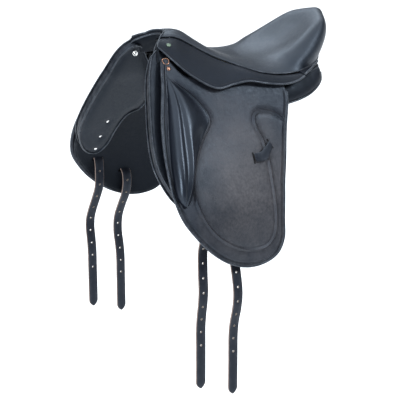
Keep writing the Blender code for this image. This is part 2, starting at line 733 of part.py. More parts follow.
# ---------------------------------------------------------------- girth straps
def strap(spec):
    """The hanging part of a girth strap with its row of holes and pointed end."""
    x_top, x_tip = spec["x"]
    z_tip = spec["tip"]
    track = [Vector((0.0, y, z)) for z, y in spec["path"]]
    z_last, y_last = spec["path"][-1]
    track += [Vector((0.0, y_last, z_last + (z_tip - z_last) * k / 3)) for k in (1, 2, 3)]
    lengths = [0.0]
    samples = []
    count = 90
    for k in range(count + 1):
        samples.append(along(track, (len(track) - 1) * k / count))
        if k:
            lengths.append(lengths[-1] + (samples[k] - samples[k - 1]).length)
    total = lengths[-1]

    def at(s):
        k = 0
        while k < count - 1 and lengths[k + 1] < s:
            k += 1
        f = (s - lengths[k]) / (lengths[k + 1] - lengths[k])
        p = samples[k].lerp(samples[k + 1], f)
        lean = smooth(s / 0.20)
        return Vector((x_top + (x_tip - x_top) * lean, p.y, p.z))

    def facing(s):
        run = at(min(s + 0.004, total)) - at(max(s - 0.004, 0.0))
        return Vector((0.0, -run.z, run.y)).normalized()

    w = STRAP_W / 2
    cuts = 30
    tip = total - 0.018
    left = [(tip * k / cuts, -w) for k in range(cuts + 1)]
    point = [(total - 0.011, -w * 0.88), (total - 0.004, -w * 0.45), (total, 0.0), (total - 0.004, w * 0.45),
             (total - 0.011, w * 0.88)]
    right = [(tip * (cuts - k) / cuts, w) for k in range(cuts + 1)]
    loop = left + point + right
    holes = [ring(total - 0.113 - HOLE_PITCH * k, 0.0, HOLE_R, 8) for k in range(HOLE_COUNT)]

    def face(s, a, off):
        p = at(s)
        return Vector((p.x + a, p.y, p.z)) + facing(s) * off
    return cut_piece(loop, 0.0125, lambda s, a: face(s, a, STRAP_T / 2), lambda s, a: face(s, a, -STRAP_T / 2), holes)


both("girth_strap_front", lambda: strap(STRAP_FRONT))
both("girth_strap_rear", lambda: strap(STRAP_REAR))


# ---------------------------------------------------------------- panels
def panel():
    """Wool-filled cushion beside the gullet, from under the cantle to the head."""
    # each row: forward lean, then inner top, outer top, outer bottom, inner bottom as (x, y, z)
    rows = [
        [(-0.181, 0.058, 0.018), (-0.182, 0.086, 0.020), (-0.187, 0.094, 0.003), (-0.185, 0.058, -0.002)],
        [(-0.166, 0.046, 0.019), (-0.167, 0.108, 0.019), (-0.171, 0.118, -0.017), (-0.169, 0.048, -0.022)],
        [(-0.132, 0.041, 0.012), (-0.132, 0.120, 0.014), (-0.134, 0.140, -0.033), (-0.132, 0.042, -0.037)],
        [(-0.090, 0.039, 0.004), (-0.090, 0.132, 0.008), (-0.090, 0.151, -0.043), (-0.090, 0.040, -0.046)],
        [(-0.040, 0.038, -0.004), (-0.040, 0.136, 0.001), (-0.040, 0.152, -0.050), (-0.040, 0.040, -0.048)],
        [(0.010, 0.038, -0.004), (0.010, 0.136, 0.002), (0.010, 0.152, -0.060), (0.010, 0.044, -0.052)],
        [(0.060, 0.040, 0.004), (0.060, 0.128, 0.006), (0.060, 0.158, -0.078), (0.060, 0.056, -0.054)],
        [(0.110, 0.046, 0.024), (0.110, 0.116, 0.014), (0.110, 0.160, -0.090), (0.110, 0.078, -0.056)],
        [(0.158, 0.054, 0.040), (0.158, 0.104, 0.026), (0.158, 0.150, -0.076), (0.158, 0.092, -0.040)],
    ]
    rings = []
    for k in range((len(rows) - 1) * 2 + 1):
        corners = [along([Vector(r[c]) for r in rows], k / 2) for c in range(4)]
        rings.append(cushion_ring(corners))
    return loft(rings)


def cushion_ring(corners):
    """Soft-cornered ring of twelve points around four corners."""
    ring_points = []
    for c in range(4):
        a, b = corners[c], corners[(c + 1) % 4]
        bulge = (a + b) / 2 - sum(corners, Vector()) / 4
        for f in (0.18, 0.5, 0.82):
            ring_points.append(a.lerp(b, f) + bulge * (0.10 if f == 0.5 else 0.0))
    return ring_points


def panel_head():
    """Front end of the panel above the fold, under the pommel."""
    rows = [
        [(0.166, 0.056, 0.042), (0.166, 0.096, 0.034), (0.166, 0.112, 0.024), (0.166, 0.072, 0.006)],
        [(0.194, 0.060, 0.050), (0.194, 0.086, 0.040), (0.198, 0.108, 0.028), (0.200, 0.074, 0.016)],
        [(0.226, 0.058, 0.066), (0.222, 0.080, 0.066), (0.234, 0.103, 0.043), (0.238, 0.072, 0.034)],
        [(0.254, 0.056, 0.083), (0.252, 0.070, 0.082), (0.268, 0.106, 0.050), (0.272, 0.080, 0.044)],
        [(0.274, 0.067, 0.080), (0.276, 0.074, 0.080), (0.292, 0.106, 0.050), (0.296, 0.090, 0.046)],
    ]
    rings = []
    for k in range((len(rows) - 1) * 2 + 1):
        corners = [along([Vector(r[c]) for r in rows], k / 2) for c in range(4)]
        rings.append(cushion_ring(corners))
    return loft(rings)


both("panel", panel)
both("panel_head", panel_head)


# ---------------------------------------------------------------- metal fittings
def stirrup_bar():
    """Recessed bar: plate on the tree, bridge at the front, and a bar open at the back."""
    low_z, top_z = 0.0450, 0.0570
    body = Body()
    # plan view shape (x, y) swept through the bar's height
    plan = [(0.118, 0.0860), (0.190, 0.0860), (0.196, 0.0890), (0.196, 0.1030), (0.190, 0.1050), (0.112, 0.1050),
            (0.112, 0.1000), (0.186, 0.1010), (0.188, 0.0990), (0.188, 0.0930), (0.186, 0.0910), (0.118, 0.0910)]
    low = [Vector((x, y, low_z)) for x, y in plan]
    top = [Vector((x, y, top_z)) for x, y in plan]
    body.faces.append([body.add(p) for p in low])
    body.faces.append([body.add(p) for p in reversed(top)])
    body.grid([low + [low[0]], top + [top[0]]])
    return body


def bar_catch():
    """Thumb catch that closes the back end of the stirrup bar."""
    low = [Vector(p) for p in [(0.0995, 0.0925, 0.0450), (0.1105, 0.0925, 0.0450), (0.1105, 0.1045, 0.0450),
                               (0.0995, 0.1045, 0.0450)]]
    top = [p + Vector((0, 0, 0.0110)) for p in low]
    body = Body()
    body.face(low)
    body.face(top)
    body.grid([low + [low[0]], top + [top[0]]])
    return body


def dee_staple():
    """Leather-covered staple plate that holds the dee under the saddle nail."""
    c = Vector((0.2440, 0.0725, 0.0985))
    n = Vector((0.10, 0.70, 0.70)).normalized()
    return disc(c, n, [(-0.0012, 0.0030), (-0.0012, 0.0040), (0.0008, 0.0040), (0.0012, 0.0030)], 10)


def dee():
    """Wire dee ring hanging from its staple."""
    wire = 0.0013
    rings = []
    for k in range(20):
        a = 2 * math.pi * k / 20
        flat = max(math.sin(a), -0.55)
        centre = DEE_CENTRE + DEE_SIDE * (0.0075 * math.cos(a)) + DEE_DOWN * (-0.0095 * flat)
        b = 2 * math.pi * (k + 0.5) / 20
        aim = (DEE_SIDE * -math.sin(a) * 0.0075 + DEE_DOWN * -math.cos(a) * 0.0095).normalized()
        out = aim.cross(DEE_OUT).normalized()
        section = []
        for j in range(6):
            q = 2 * math.pi * j / 6
            section.append(centre + out * (wire * math.cos(q)) + DEE_OUT * (wire * math.sin(q)))
        rings.append(section)
    return hoop(rings)


DEE_OUT = Vector((0.10, 0.73, 0.67)).normalized()
DEE_SIDE = Vector((1.0, 0.0, 0.0)).cross(DEE_OUT).cross(DEE_OUT).normalized() * -1
DEE_DOWN = DEE_OUT.cross(DEE_SIDE).normalized()
if DEE_DOWN.z > 0:
    DEE_DOWN = -DEE_DOWN
DEE_CENTRE = Vector((0.2500, 0.0905, 0.0860))


def nail(p, n, r, h):
    """Domed nail head."""
    return disc(p, n, [(0.0, r), (h * 0.45, r * 0.96), (h * 0.8, r * 0.7), (h, r * 0.3)], 12)


both("stirrup_bar", stirrup_bar)
both("bar_catch", bar_catch)
both("dee_staple", dee_staple)
both("dee", dee)
nail_p = skirt_point(0.70, 1.05)
nail_n = -skirt_in(0.70, 1.05)
both("saddle_nail", lambda: nail(nail_p + nail_n * 0.0006, nail_n, 0.0060, 0.0030))
both("flap_nail", lambda: nail(on_flap(0.2490, 0.0690, -0.0014), flap_normal(0.2490, 0.0690), 0.0036, 0.0026))


def panel_button():
    """Cup washer and screw that hold the panel head to the tree point."""
    c = Vector((0.2500, 0.0560, 0.0720))
    n = Vector((0.35, -0.92, -0.10)).normalized()
    return disc(c, n, [(0.0, 0.0050), (0.0010, 0.0068), (0.0020, 0.0068), (0.0030, 0.0052), (0.0026, 0.0024)], 16)


both("panel_button", panel_button)
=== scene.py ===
"""Looks of the dressage saddle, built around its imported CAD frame.

Metres, +X towards the pommel, +Y the rider's left, +Z up, as in the CAD. Leather pieces are cut to
flat outlines (forward, up) and laid on the flap's curved surface; the seat and skirts are lofted.
"""
import math

import bmesh
import bpy
import numpy as np
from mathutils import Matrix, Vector
from mathutils.bvhtree import BVHTree
from mathutils.geometry import delaunay_2d_cdt


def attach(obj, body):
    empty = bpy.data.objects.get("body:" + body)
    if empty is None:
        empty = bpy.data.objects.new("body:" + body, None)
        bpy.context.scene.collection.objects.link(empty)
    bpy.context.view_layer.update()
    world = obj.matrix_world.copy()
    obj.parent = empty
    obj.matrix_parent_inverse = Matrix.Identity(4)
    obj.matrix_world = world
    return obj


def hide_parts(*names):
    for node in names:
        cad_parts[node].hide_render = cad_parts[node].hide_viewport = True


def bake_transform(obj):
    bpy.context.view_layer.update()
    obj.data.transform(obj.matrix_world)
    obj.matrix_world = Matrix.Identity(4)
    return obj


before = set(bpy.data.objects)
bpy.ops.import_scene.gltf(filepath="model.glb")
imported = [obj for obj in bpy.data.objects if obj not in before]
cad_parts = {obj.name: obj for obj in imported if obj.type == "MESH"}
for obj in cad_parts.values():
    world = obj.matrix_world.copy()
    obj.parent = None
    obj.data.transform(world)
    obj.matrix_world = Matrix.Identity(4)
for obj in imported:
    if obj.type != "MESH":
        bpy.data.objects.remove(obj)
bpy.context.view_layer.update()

# ---------------------------------------------------------------- dimensions shared with the CAD
LEATHER = 0.0030
FLAP_T = 0.0045
SWEAT_T = 0.0035
STRAP_T = 0.0040
STRAP_W = 0.0250
HOLE_FIRST = 0.113             # from the tip to the lowest hole
HOLE_PITCH = 0.0340
HOLE_R = 0.0024
HOLE_COUNT = 9
SCREW_HOLE_R = 0.0031
LOBE_T = 0.0235
LAYER_GAP = 0.0015
OFF_ROOT = -(FLAP_T + LAYER_GAP)
OFF_SWEAT = OFF_ROOT - STRAP_T - LAYER_GAP
OFF_LOBE = OFF_SWEAT - SWEAT_T - LAYER_GAP

# the flap's surface near its front edge and at its middle: height, distance from the centre plane
FLAP_FRONT = [(0.135, 0.046), (0.110, 0.068), (0.085, 0.090), (0.060, 0.109), (0.035, 0.127),
              (0.010, 0.144), (-0.040, 0.175), (-0.090, 0.206), (-0.140, 0.239), (-0.190, 0.267),
              (-0.240, 0.290), (-0.290, 0.305), (-0.340, 0.312), (-0.400, 0.315)]
FLAP_MIDDLE = [(0.135, 0.063), (0.110, 0.083), (0.085, 0.103), (0.060, 0.123), (0.035, 0.143),
               (0.010, 0.162), (-0.040, 0.188), (-0.090, 0.211), (-0.140, 0.232), (-0.190, 0.251),
               (-0.240, 0.268), (-0.290, 0.280), (-0.340, 0.288), (-0.400, 0.293)]
FOLD_FRONT = Vector((0.265, 0.133, 0.040))
FOLD_REAR = Vector((-0.030, 0.176, -0.005))
SKIRT_FOLD_FRONT = Vector((0.2460, 0.0840, 0.1060))
SKIRT_FOLD_REAR = Vector((0.0620, 0.1520, 0.0440))

# outlines on the flap's surface, forward and up
FLAP_OUTLINE = [(-0.034, -0.008), (-0.030, -0.030), (-0.008, -0.090), (0.010, -0.155), (0.025, -0.210),
                (0.037, -0.280), (0.042, -0.328), (0.062, -0.362), (0.100, -0.377), (0.150, -0.375),
                (0.205, -0.353), (0.258, -0.312), (0.297, -0.265), (0.317, -0.230), (0.326, -0.190),
                (0.327, -0.150), (0.323, -0.110), (0.315, -0.070), (0.304, -0.030), (0.291, 0.005),
                (0.280, 0.033), (0.273, 0.052), (0.267, 0.070), (0.261, 0.084)]
FLAP_TOP = [(0.250, 0.090), (0.238, 0.082), (0.226, 0.064), (0.207, 0.049), (0.150, 0.039),
            (0.060, 0.025), (-0.030, 0.011)]
SWEAT_FRONT_TOP = (0.268, 0.036)
LOBE_OUTLINE = [(0.168, 0.016), (0.164, -0.050), (0.178, -0.084), (0.204, -0.093), (0.220, -0.110),
                (0.231, -0.145), (0.242, -0.186), (0.262, -0.208), (0.288, -0.206), (0.312, -0.186),
                (0.329, -0.150), (0.337, -0.115), (0.335, -0.080), (0.327, -0.040), (0.316, 0.000),
                (0.305, 0.036), (0.296, 0.062), (0.286, 0.083), (0.273, 0.101), (0.258, 0.110),
                (0.241, 0.108), (0.224, 0.092), (0.206, 0.066), (0.186, 0.042)]
# knee block: height and forward place of its two edges and its two ridges
BLOCK_REAR = [(0.050, 0.256), (0.041, 0.248), (0.0255, 0.2303), (0.0086, 0.2125), (-0.0241, 0.1900),
              (-0.0439, 0.1870), (-0.0540, 0.1920), (-0.0846, 0.2190), (-0.1227, 0.2470), (-0.1497, 0.2610),
              (-0.1738, 0.2735), (-0.1897, 0.2815), (-0.2028, 0.2925), (-0.2090, 0.3030)]
BLOCK_FRONT = [(0.050, 0.262), (0.0276, 0.2700), (-0.0128, 0.2825), (-0.0533, 0.2955), (-0.0933, 0.3070),
               (-0.1251, 0.3150), (-0.1576, 0.3195), (-0.1827, 0.3205), (-0.2007, 0.3145), (-0.2090, 0.3050)]
RIDGE_FRONT = [(0.050, 0.2585), (0.0177, 0.2601), (-0.0020, 0.2635), (-0.0221, 0.2673), (-0.0627, 0.2792),
               (-0.1034, 0.2901), (-0.1346, 0.2972), (-0.1654, 0.3045), (-0.2000, 0.3080)]
RIDGE_REAR = [(0.050, 0.2570), (0.0100, 0.2500), (-0.0157, 0.2490), (-0.0489, 0.2528), (-0.0780, 0.2580),
              (-0.1069, 0.2637), (-0.1341, 0.2721), (-0.1565, 0.2817), (-0.1828, 0.2946), (-0.2000, 0.3030)]
# the raised line sewn into the flap: from under the skirt, behind the knee block, round the foot and
# up past the keeper to the skirt again
RAISED_LINE = [(0.256, 0.050), (0.248, 0.041), (0.2303, 0.0255), (0.2125, 0.0086), (0.1900, -0.0241),
               (0.1865, -0.0430), (0.1925, -0.0560), (0.2200, -0.0846), (0.2480, -0.1227), (0.2640, -0.1520),
               (0.2720, -0.1850), (0.2690, -0.2230), (0.2480, -0.2660), (0.2130, -0.3005), (0.1670, -0.3283),
               (0.1240, -0.3395), (0.0890, -0.3365), (0.0675, -0.3150), (0.0585, -0.2770), (0.0560, -0.2210),
               (0.0550, -0.1550), (0.0600, -0.1065), (0.0678, -0.0831), (0.0725, -0.0640), (0.0690, -0.0490),
               (0.0560, -0.0415), (0.0335, -0.0425), (0.0080, -0.0530), (-0.0110, -0.0710)]
KEEPER_OUTLINE = [(0.094, -0.128), (0.074, -0.125), (0.047, -0.106), (0.040, -0.121), (0.052, -0.133),
                  (0.066, -0.147), (0.092, -0.146)]
KNEE_SCREWS = [(0.264, -0.106), (0.270, -0.154), (0.273, -0.194)]

STRAP_FRONT = {"x": (0.246, 0.268), "slot": -0.252, "tip": -0.668,
               "path": [(-0.260, 0.2735), (-0.290, 0.268), (-0.325, 0.263), (-0.355, 0.270), (-0.385, 0.280),
                        (-0.415, 0.289), (-0.445, 0.290), (-0.475, 0.285), (-0.510, 0.281), (-0.550, 0.281)]}
STRAP_REAR = {"x": (0.168, 0.182), "slot": -0.298, "tip": -0.702,
              "path": [(-0.306, 0.270), (-0.335, 0.266), (-0.365, 0.272), (-0.395, 0.286), (-0.425, 0.298),
                       (-0.450, 0.302), (-0.480, 0.299), (-0.515, 0.290), (-0.550, 0.286), (-0.590, 0.286)]}

# seat: each station runs from the centre line across the dish, the rim and the side to the welt
SEAT_STATIONS = [
    [(0.203, 0.000, 0.1340), (0.208, 0.010, 0.1335), (0.213, 0.018, 0.1325), (0.219, 0.024, 0.1310),
     (0.224, 0.028, 0.1290), (0.229, 0.031, 0.1265)],
    [(0.165, 0.000, 0.1310), (0.170, 0.012, 0.1310), (0.177, 0.022, 0.1300), (0.184, 0.030, 0.1285),
     (0.190, 0.035, 0.1270), (0.195, 0.039, 0.1240)],
    [(0.130, 0.000, 0.1080), (0.134, 0.016, 0.1085), (0.140, 0.032, 0.1085), (0.148, 0.043, 0.1080),
     (0.156, 0.050, 0.1075), (0.162, 0.055, 0.1060)],
    [(0.100, 0.000, 0.0870), (0.103, 0.028, 0.0870), (0.108, 0.050, 0.0870), (0.115, 0.066, 0.0860),
     (0.120, 0.075, 0.0850), (0.125, 0.081, 0.0820)],
    [(0.060, 0.000, 0.0650), (0.061, 0.030, 0.0655), (0.063, 0.057, 0.0655), (0.066, 0.083, 0.0640),
     (0.068, 0.104, 0.0610), (0.070, 0.116, 0.0570)],
    [(0.020, 0.000, 0.0500), (0.020, 0.030, 0.0510), (0.020, 0.058, 0.0520), (0.020, 0.088, 0.0500),
     (0.020, 0.117, 0.0455), (0.020, 0.137, 0.0385)],
    [(-0.020, 0.000, 0.0435), (-0.020, 0.030, 0.0450), (-0.021, 0.060, 0.0475), (-0.022, 0.090, 0.0455),
     (-0.023, 0.118, 0.0400), (-0.024, 0.139, 0.0285)],
    [(-0.060, 0.000, 0.0470), (-0.061, 0.032, 0.0490), (-0.063, 0.066, 0.0530), (-0.065, 0.094, 0.0510),
     (-0.067, 0.122, 0.0410), (-0.069, 0.140, 0.0255)],
    [(-0.100, 0.000, 0.0600), (-0.100, 0.036, 0.0630), (-0.101, 0.072, 0.0700), (-0.102, 0.098, 0.0680),
     (-0.103, 0.124, 0.0530), (-0.105, 0.135, 0.0270)],
    [(-0.100, 0.000, 0.0600), (-0.122, 0.036, 0.0720), (-0.144, 0.073, 0.0930), (-0.158, 0.096, 0.0910),
     (-0.164, 0.109, 0.0640), (-0.159, 0.106, 0.0310)],
    [(-0.100, 0.000, 0.0600), (-0.142, 0.025, 0.0820), (-0.194, 0.058, 0.1220), (-0.214, 0.070, 0.1170),
     (-0.217, 0.070, 0.0810), (-0.199, 0.062, 0.0340)],
    [(-0.100, 0.000, 0.0600), (-0.152, 0.000, 0.0860), (-0.224, 0.000, 0.1380), (-0.249, 0.000, 0.1270),
     (-0.252, 0.000, 0.0850), (-0.224, 0.000, 0.0300)],
]
# skirt: upper seam, belly and lower edge, from the pommel back to the cantle
SKIRT_STATIONS = [
    [(0.2310, 0.0325, 0.1245), (0.2430, 0.0470, 0.1190), (0.2530, 0.0620, 0.1120)],
    [(0.1970, 0.0410, 0.1220), (0.2180, 0.0710, 0.1090), (0.2345, 0.1010, 0.0865)],
    [(0.1640, 0.0570, 0.1040), (0.1870, 0.0930, 0.0850), (0.2045, 0.1310, 0.0545)],
    [(0.1260, 0.083, 0.0800), (0.1420, 0.117, 0.0590), (0.1550, 0.161, 0.0240)],
    [(0.0960, 0.104, 0.0650), (0.1010, 0.128, 0.0490), (0.1060, 0.163, 0.0270)],
    [(0.0600, 0.1235, 0.0520), (0.0630, 0.144, 0.0440), (0.0670, 0.167, 0.0300)],
    [(0.0200, 0.139, 0.0365), (0.0210, 0.156, 0.0310), (0.0220, 0.173, 0.0200)],
    [(-0.0280, 0.142, 0.0255), (-0.0270, 0.158, 0.0212), (-0.0270, 0.175, 0.0120)],
    [(-0.0740, 0.143, 0.0225), (-0.0720, 0.156, 0.0200), (-0.0700, 0.171, 0.0155)],
    [(-0.1090, 0.136, 0.0240), (-0.1100, 0.147, 0.0270), (-0.1110, 0.158, 0.0310)],
    [(-0.1420, 0.127, 0.0300), (-0.1440, 0.134, 0.0360), (-0.1460, 0.139, 0.0430)],
]
FACING_FRONT = [(0.262, 0.0600, 0.094), (0.256, 0.0520, 0.1030), (0.243, 0.0390, 0.1125),
                (0.229, 0.0260, 0.1195), (0.217, 0.0130, 0.1240), (0.212, 0.0000, 0.1255)]

PIECES = bpy.data.collections.new("saddle_looks")
bpy.context.scene.collection.children.link(PIECES)
SIDES = (("L", 1.0), ("R", -1.0))
MIRROR = np.array([1.0, -1.0, 1.0])


# ---------------------------------------------------------------- curves and surfaces
def catmull(a, b, c, d, t):
    """Point between b and c at t on a Catmull-Rom curve."""
    return 0.5 * ((2 * b) + (c - a) * t + (2 * a - 5 * b + 4 * c - d) * t * t
                  + (3 * b - a - 3 * c + d) * t * t * t)


def along(points, u):
    """Smooth curve through a list of Vectors at the index u, which may lie between two of them."""
    last = len(points) - 1
    u = min(max(u, 0.0), float(last))
    i = min(int(u), last - 1)
    a = points[i - 1] if i > 0 else points[0] * 2 - points[1]
    d = points[i + 2] if i + 2 <= last else points[last] * 2 - points[last - 1]
    return catmull(a, points[i], points[i + 1], d, u - i)


def dense(rows, steps=24):
    """Smooth samples of a table of rows, as an array."""
    pts = [Vector(tuple(r) + (0.0,) * (3 - len(r))) for r in rows]
    out = [along(pts, k / steps) for k in range((len(pts) - 1) * steps + 1)]
    return np.array([p[:] for p in out])


def lookup(rows):
    """Smooth function of one value from a table of (value, result) rows."""
    table = dense(rows)
    if table[0][0] > table[-1][0]:
        table = table[::-1]
    return lambda v: np.interp(v, table[:, 0], table[:, 1])


def smooth(t):
    """Smooth step from 0 to 1."""
    t = np.clip(t, 0.0, 1.0)
    return t * t * (3 - 2 * t)


front_y = lookup(FLAP_FRONT)
middle_y = lookup(FLAP_MIDDLE)


def flap_y(x, z):
    """Outer surface of the flap: distance from the centre plane."""
    w = smooth((x - 0.05) / 0.25)
    return front_y(z) * w + middle_y(z) * (1 - w)


def flap_normal(x, z):
    """Direction out of the flap's surface."""
    e = 0.004
    dx = (flap_y(x + e, z) - flap_y(x - e, z)) / (2 * e)
    dz = (flap_y(x, z + e) - flap_y(x, z - e)) / (2 * e)
    n = np.stack([-dx, np.ones_like(dx), -dz], -1)
    return n / np.linalg.norm(n, axis=-1, keepdims=True)


def on_flap(flat, off):
    """Points at a distance off outside the flap's surface (negative is towards the horse)."""
    flat = np.asarray(flat, float).reshape(-1, 2)
    x, z = flat[:, 0], flat[:, 1]
    base = np.stack([x, flap_y(x, z), z], -1)
    return base + flap_normal(x, z) * np.reshape(off, (-1, 1))


def rounded(d, r):
    """Share of full thickness at a distance d from a rounded edge of radius r."""
    t = 1 - np.minimum(d / r, 1.0)
    return np.sqrt(np.maximum(0.0, 1 - t * t))


def bump(d, r):
    """Soft round bump of radius r at distance d."""
    return np.exp(-(d / r) ** 2)


def spaced(points, gap, closed=False):
    """A line of points cut again at an even spacing."""
    p = np.asarray(points, float)
    if closed:
        p = np.vstack([p, p[:1]])
    run = np.concatenate([[0.0], np.cumsum(np.linalg.norm(np.diff(p, axis=0), axis=1))])
    count = max(2, int(round(run[-1] / gap)) + 1)
    at = np.linspace(0, run[-1], count)
    out = np.stack([np.interp(at, run, p[:, k]) for k in range(p.shape[1])], -1)
    return out[:-1] if closed else out


def smooth_line(rows, gap):
    """Open smooth line through rows of a table, at an even spacing."""
    table = dense(rows)
    return spaced(table[:, :len(rows[0])], gap)


def smooth_outline(points, gap, sharp=()):
    """Closed smooth line through points; sharp lists corners kept square."""
    n = len(points)
    pts = [Vector((p[0], p[1], 0.0)) for p in points]
    out = []
    for i in range(n):
        b = pts[i]
        c = pts[(i + 1) % n]
        a = pts[i - 1] if i not in sharp else b * 2 - c
        d = pts[(i + 2) % n] if (i + 1) % n not in sharp else c * 2 - b
        cuts = max(1, int(round((c - b).length / gap)))
        for k in range(cuts):
            q = catmull(a, b, c, d, k / cuts)
            out.append((q.x, q.y))
    return np.array(out)


def line_distance(line, flat, closed=False):
    """Distance of flat points from a line, and how far along it the nearest place is (0 to 1)."""
    a = np.asarray(line, float)
    b = np.roll(a, -1, axis=0)
    if not closed:
        a, b = a[:-1], b[:-1]
    best = np.full(len(flat), 1e9)
    where = np.zeros(len(flat))
    for k in range(len(a)):
        d = b[k] - a[k]
        t = np.clip(((flat - a[k]) @ d) / max(d @ d, 1e-14), 0, 1)
        away = np.linalg.norm(flat - a[k] - t[:, None] * d, axis=1)
        nearer = away < best
        best[nearer] = away[nearer]
        where[nearer] = (k + t[nearer]) / len(a)
    return best, where


def inside(loop, flat):
    """True where flat points lie inside a closed line."""
    hit = np.zeros(len(flat), bool)
    x, y = flat[:, 0], flat[:, 1]
    for i in range(len(loop)):
        x1, y1 = loop[i]
        x2, y2 = loop[i - 1]
        if y1 == y2:
            continue
        crosses = ((y1 > y) != (y2 > y)) & (x < (x2 - x1) * (y - y1) / (y2 - y1) + x1)
        hit ^= crosses
    return hit


def outward(loop):
    """Unit directions out of a closed flat line at its points."""
    run = np.roll(loop, -1, axis=0) - np.roll(loop, 1, axis=0)
    n = np.stack([run[:, 1], -run[:, 0]], -1)
    n /= np.maximum(np.linalg.norm(n, axis=1, keepdims=True), 1e-9)
    nxt = np.roll(loop, -1, axis=0)
    area = np.sum(loop[:, 0] * nxt[:, 1] - nxt[:, 0] * loop[:, 1])
    return n if area > 0 else -n


# ---------------------------------------------------------------- pieces of mesh
class Piece:
    """Points and faces, with a material number for each face and values of wear for each point."""

    def __init__(self):
        self.points = np.zeros((0, 3))
        self.faces = []
        self.mats = []
        self.wear = np.zeros(0)

    def add(self, points, faces, mat=0, wear=0.0):
        start = len(self.points)
        points = np.asarray(points, float).reshape(-1, 3)
        self.points = np.vstack([self.points, points])
        self.wear = np.concatenate([self.wear, np.broadcast_to(wear, (len(points),))])
        self.faces += [[start + i for i in f] for f in faces]
        self.mats += list(mat) if hasattr(mat, "__len__") else [mat] * len(faces)
        return self

    def join(self, other):
        return self.add(other.points, other.faces, other.mats, other.wear)

    def mirrored(self):
        out = Piece()
        out.points = self.points * MIRROR
        out.faces = [f[::-1] for f in self.faces]
        out.mats = list(self.mats)
        out.wear = self.wear.copy()
        return out

    def finish(self, name, *materials, sharp=50):
        mesh = bpy.data.meshes.new(name)
        mesh.from_pydata([tuple(p) for p in self.points], [], self.faces)
        mesh.polygons.foreach_set("material_index", np.array(self.mats, np.int32))
        wear = mesh.attributes.new("wear", "FLOAT", "POINT")
        wear.data.foreach_set("value", self.wear.astype(np.float32))
        bm = bmesh.new()
        bm.from_mesh(mesh)
        bmesh.ops.recalc_face_normals(bm, faces=bm.faces[:])
        bm.to_mesh(mesh)
        bm.free()
        for m in materials:
            mesh.materials.append(m)
        mesh.polygons.foreach_set("use_smooth", np.ones(len(mesh.polygons), bool))
        mesh.set_sharp_from_angle(angle=math.radians(sharp))
        obj = bpy.data.objects.new(name, mesh)
        PIECES.objects.link(obj)
        return obj


def cut(loop, step, place, depth, rim=None, holes=(), guides=None, relief=None, crown=None, rim_mat=0,
        hole_mat=0):
    """Leather cut to a flat outline. place(flat, off) lays it in space, top at off 0, back at -depth.

    rim lists (out, off) rows of the edge's section, relief and crown move the top and the back, and
    guides are flat points that the mesh has to pass through.
    """
    if rim is None:
        r = min(depth / 2, 0.0022)
        half = depth / 2
        rim = [(r * math.cos(a), -half + half * math.sin(a)) for a in (1.05, 0.5, 0.0, -0.5, -1.05)]
    reach = max(p[0] for p in rim)
    out = outward(loop)
    inner = loop - out * reach
    points = [inner] + [np.asarray(h, float) for h in holes]
    edges = []
    start = 0
    for line in points:
        edges += [(start + i, start + (i + 1) % len(line)) for i in range(len(line))]
        start += len(line)
    low, high = inner.min(0), inner.max(0)
    xs = np.arange(low[0], high[0] + step, step)
    ys = np.arange(low[1], high[1] + step, step * 0.87)
    gx, gy = np.meshgrid(xs, ys)
    gx[1::2] += step / 2
    field = np.stack([gx.ravel(), gy.ravel()], -1)
    extra = [] if guides is None else [np.asarray(guides, float).reshape(-1, 2)]
    if guides is not None:
        near = np.ones(len(field), bool)
        for k in range(0, len(extra[0]), 200):
            d = np.linalg.norm(field[:, None] - extra[0][None, k:k + 200], axis=2).min(1)
            near &= d > 0.55 * step
        field = field[near]
        g = extra[0]
        g = g[inside(inner, g)]
        g = g[line_distance(inner, g, True)[0] > 0.0012]
        extra = [g]
    field = field[inside(inner, field)]
    field = field[line_distance(inner, field, True)[0] > 0.45 * step]
    for h in points[1:]:
        keep = ~inside(h, field) & (line_distance(h, field, True)[0] > 0.3 * step)
        field = field[keep]
        extra = [g[~inside(h, g) & (line_distance(h, g, True)[0] > 0.001)] for g in extra]
    allp = np.vstack(points + extra + [field])
    made = delaunay_2d_cdt([Vector(p) for p in allp], edges, [], 0, 1e-7)
    flat = np.array([v[:] for v in made[0]])
    ids = {}
    for new, olds in enumerate(made[3]):
        for o in olds:
            ids[o] = new
    tris = [list(f) for f in made[2]]
    mid = np.array([flat[f].mean(0) for f in tris])
    keep = inside(inner, mid)
    for h in points[1:]:
        keep &= ~inside(h, mid)
    tris = [t for t, k in zip(tris, keep) if k]
    n = len(flat)
    lift = relief(flat) if relief else np.zeros(n)
    fall = crown(flat) if crown else np.zeros(n)
    wear_width = 0.006
    edge = bump(line_distance(loop, flat, True)[0], wear_width)
    piece = Piece()
    rows = [place(flat, lift), place(flat, -depth - fall)]
    wears = [edge, edge]
    for o, off in rim:
        rows.append(place(inner + out * o, np.full(len(inner), off)))
        wears.append(np.ones(len(inner)))
    piece.add(np.vstack(rows), [], 0, np.concatenate(wears))
    faces = tris + [[n + i for i in reversed(t)] for t in tris]
    mats = [0] * len(faces)
    m = len(inner)
    ring_ids = [[ids[i] for i in range(m)]]
    ring_ids += [[2 * n + k * m + i for i in range(m)] for k in range(len(rim))]
    ring_ids += [[n + ids[i] for i in range(m)]]
    for a, b in zip(ring_ids[:-1], ring_ids[1:]):
        for i in range(m):
            j = (i + 1) % m
            faces.append([a[i], a[j], b[j], b[i]])
            mats.append(rim_mat)
    start = m
    for h in points[1:]:
        for i in range(len(h)):
            a = ids[start + i]
            b = ids[start + (i + 1) % len(h)]
            faces.append([b, a, n + a, n + b])
            mats.append(hole_mat)
        start += len(h)
    piece.faces = faces
    piece.mats = mats
    return piece


def ring(x, y, r, sides=14):
    """Small round hole in a flat pattern."""
    a = np.arange(sides) * 2 * math.pi / sides
    return np.stack([x + r * np.cos(a), y + r * np.sin(a)], -1)


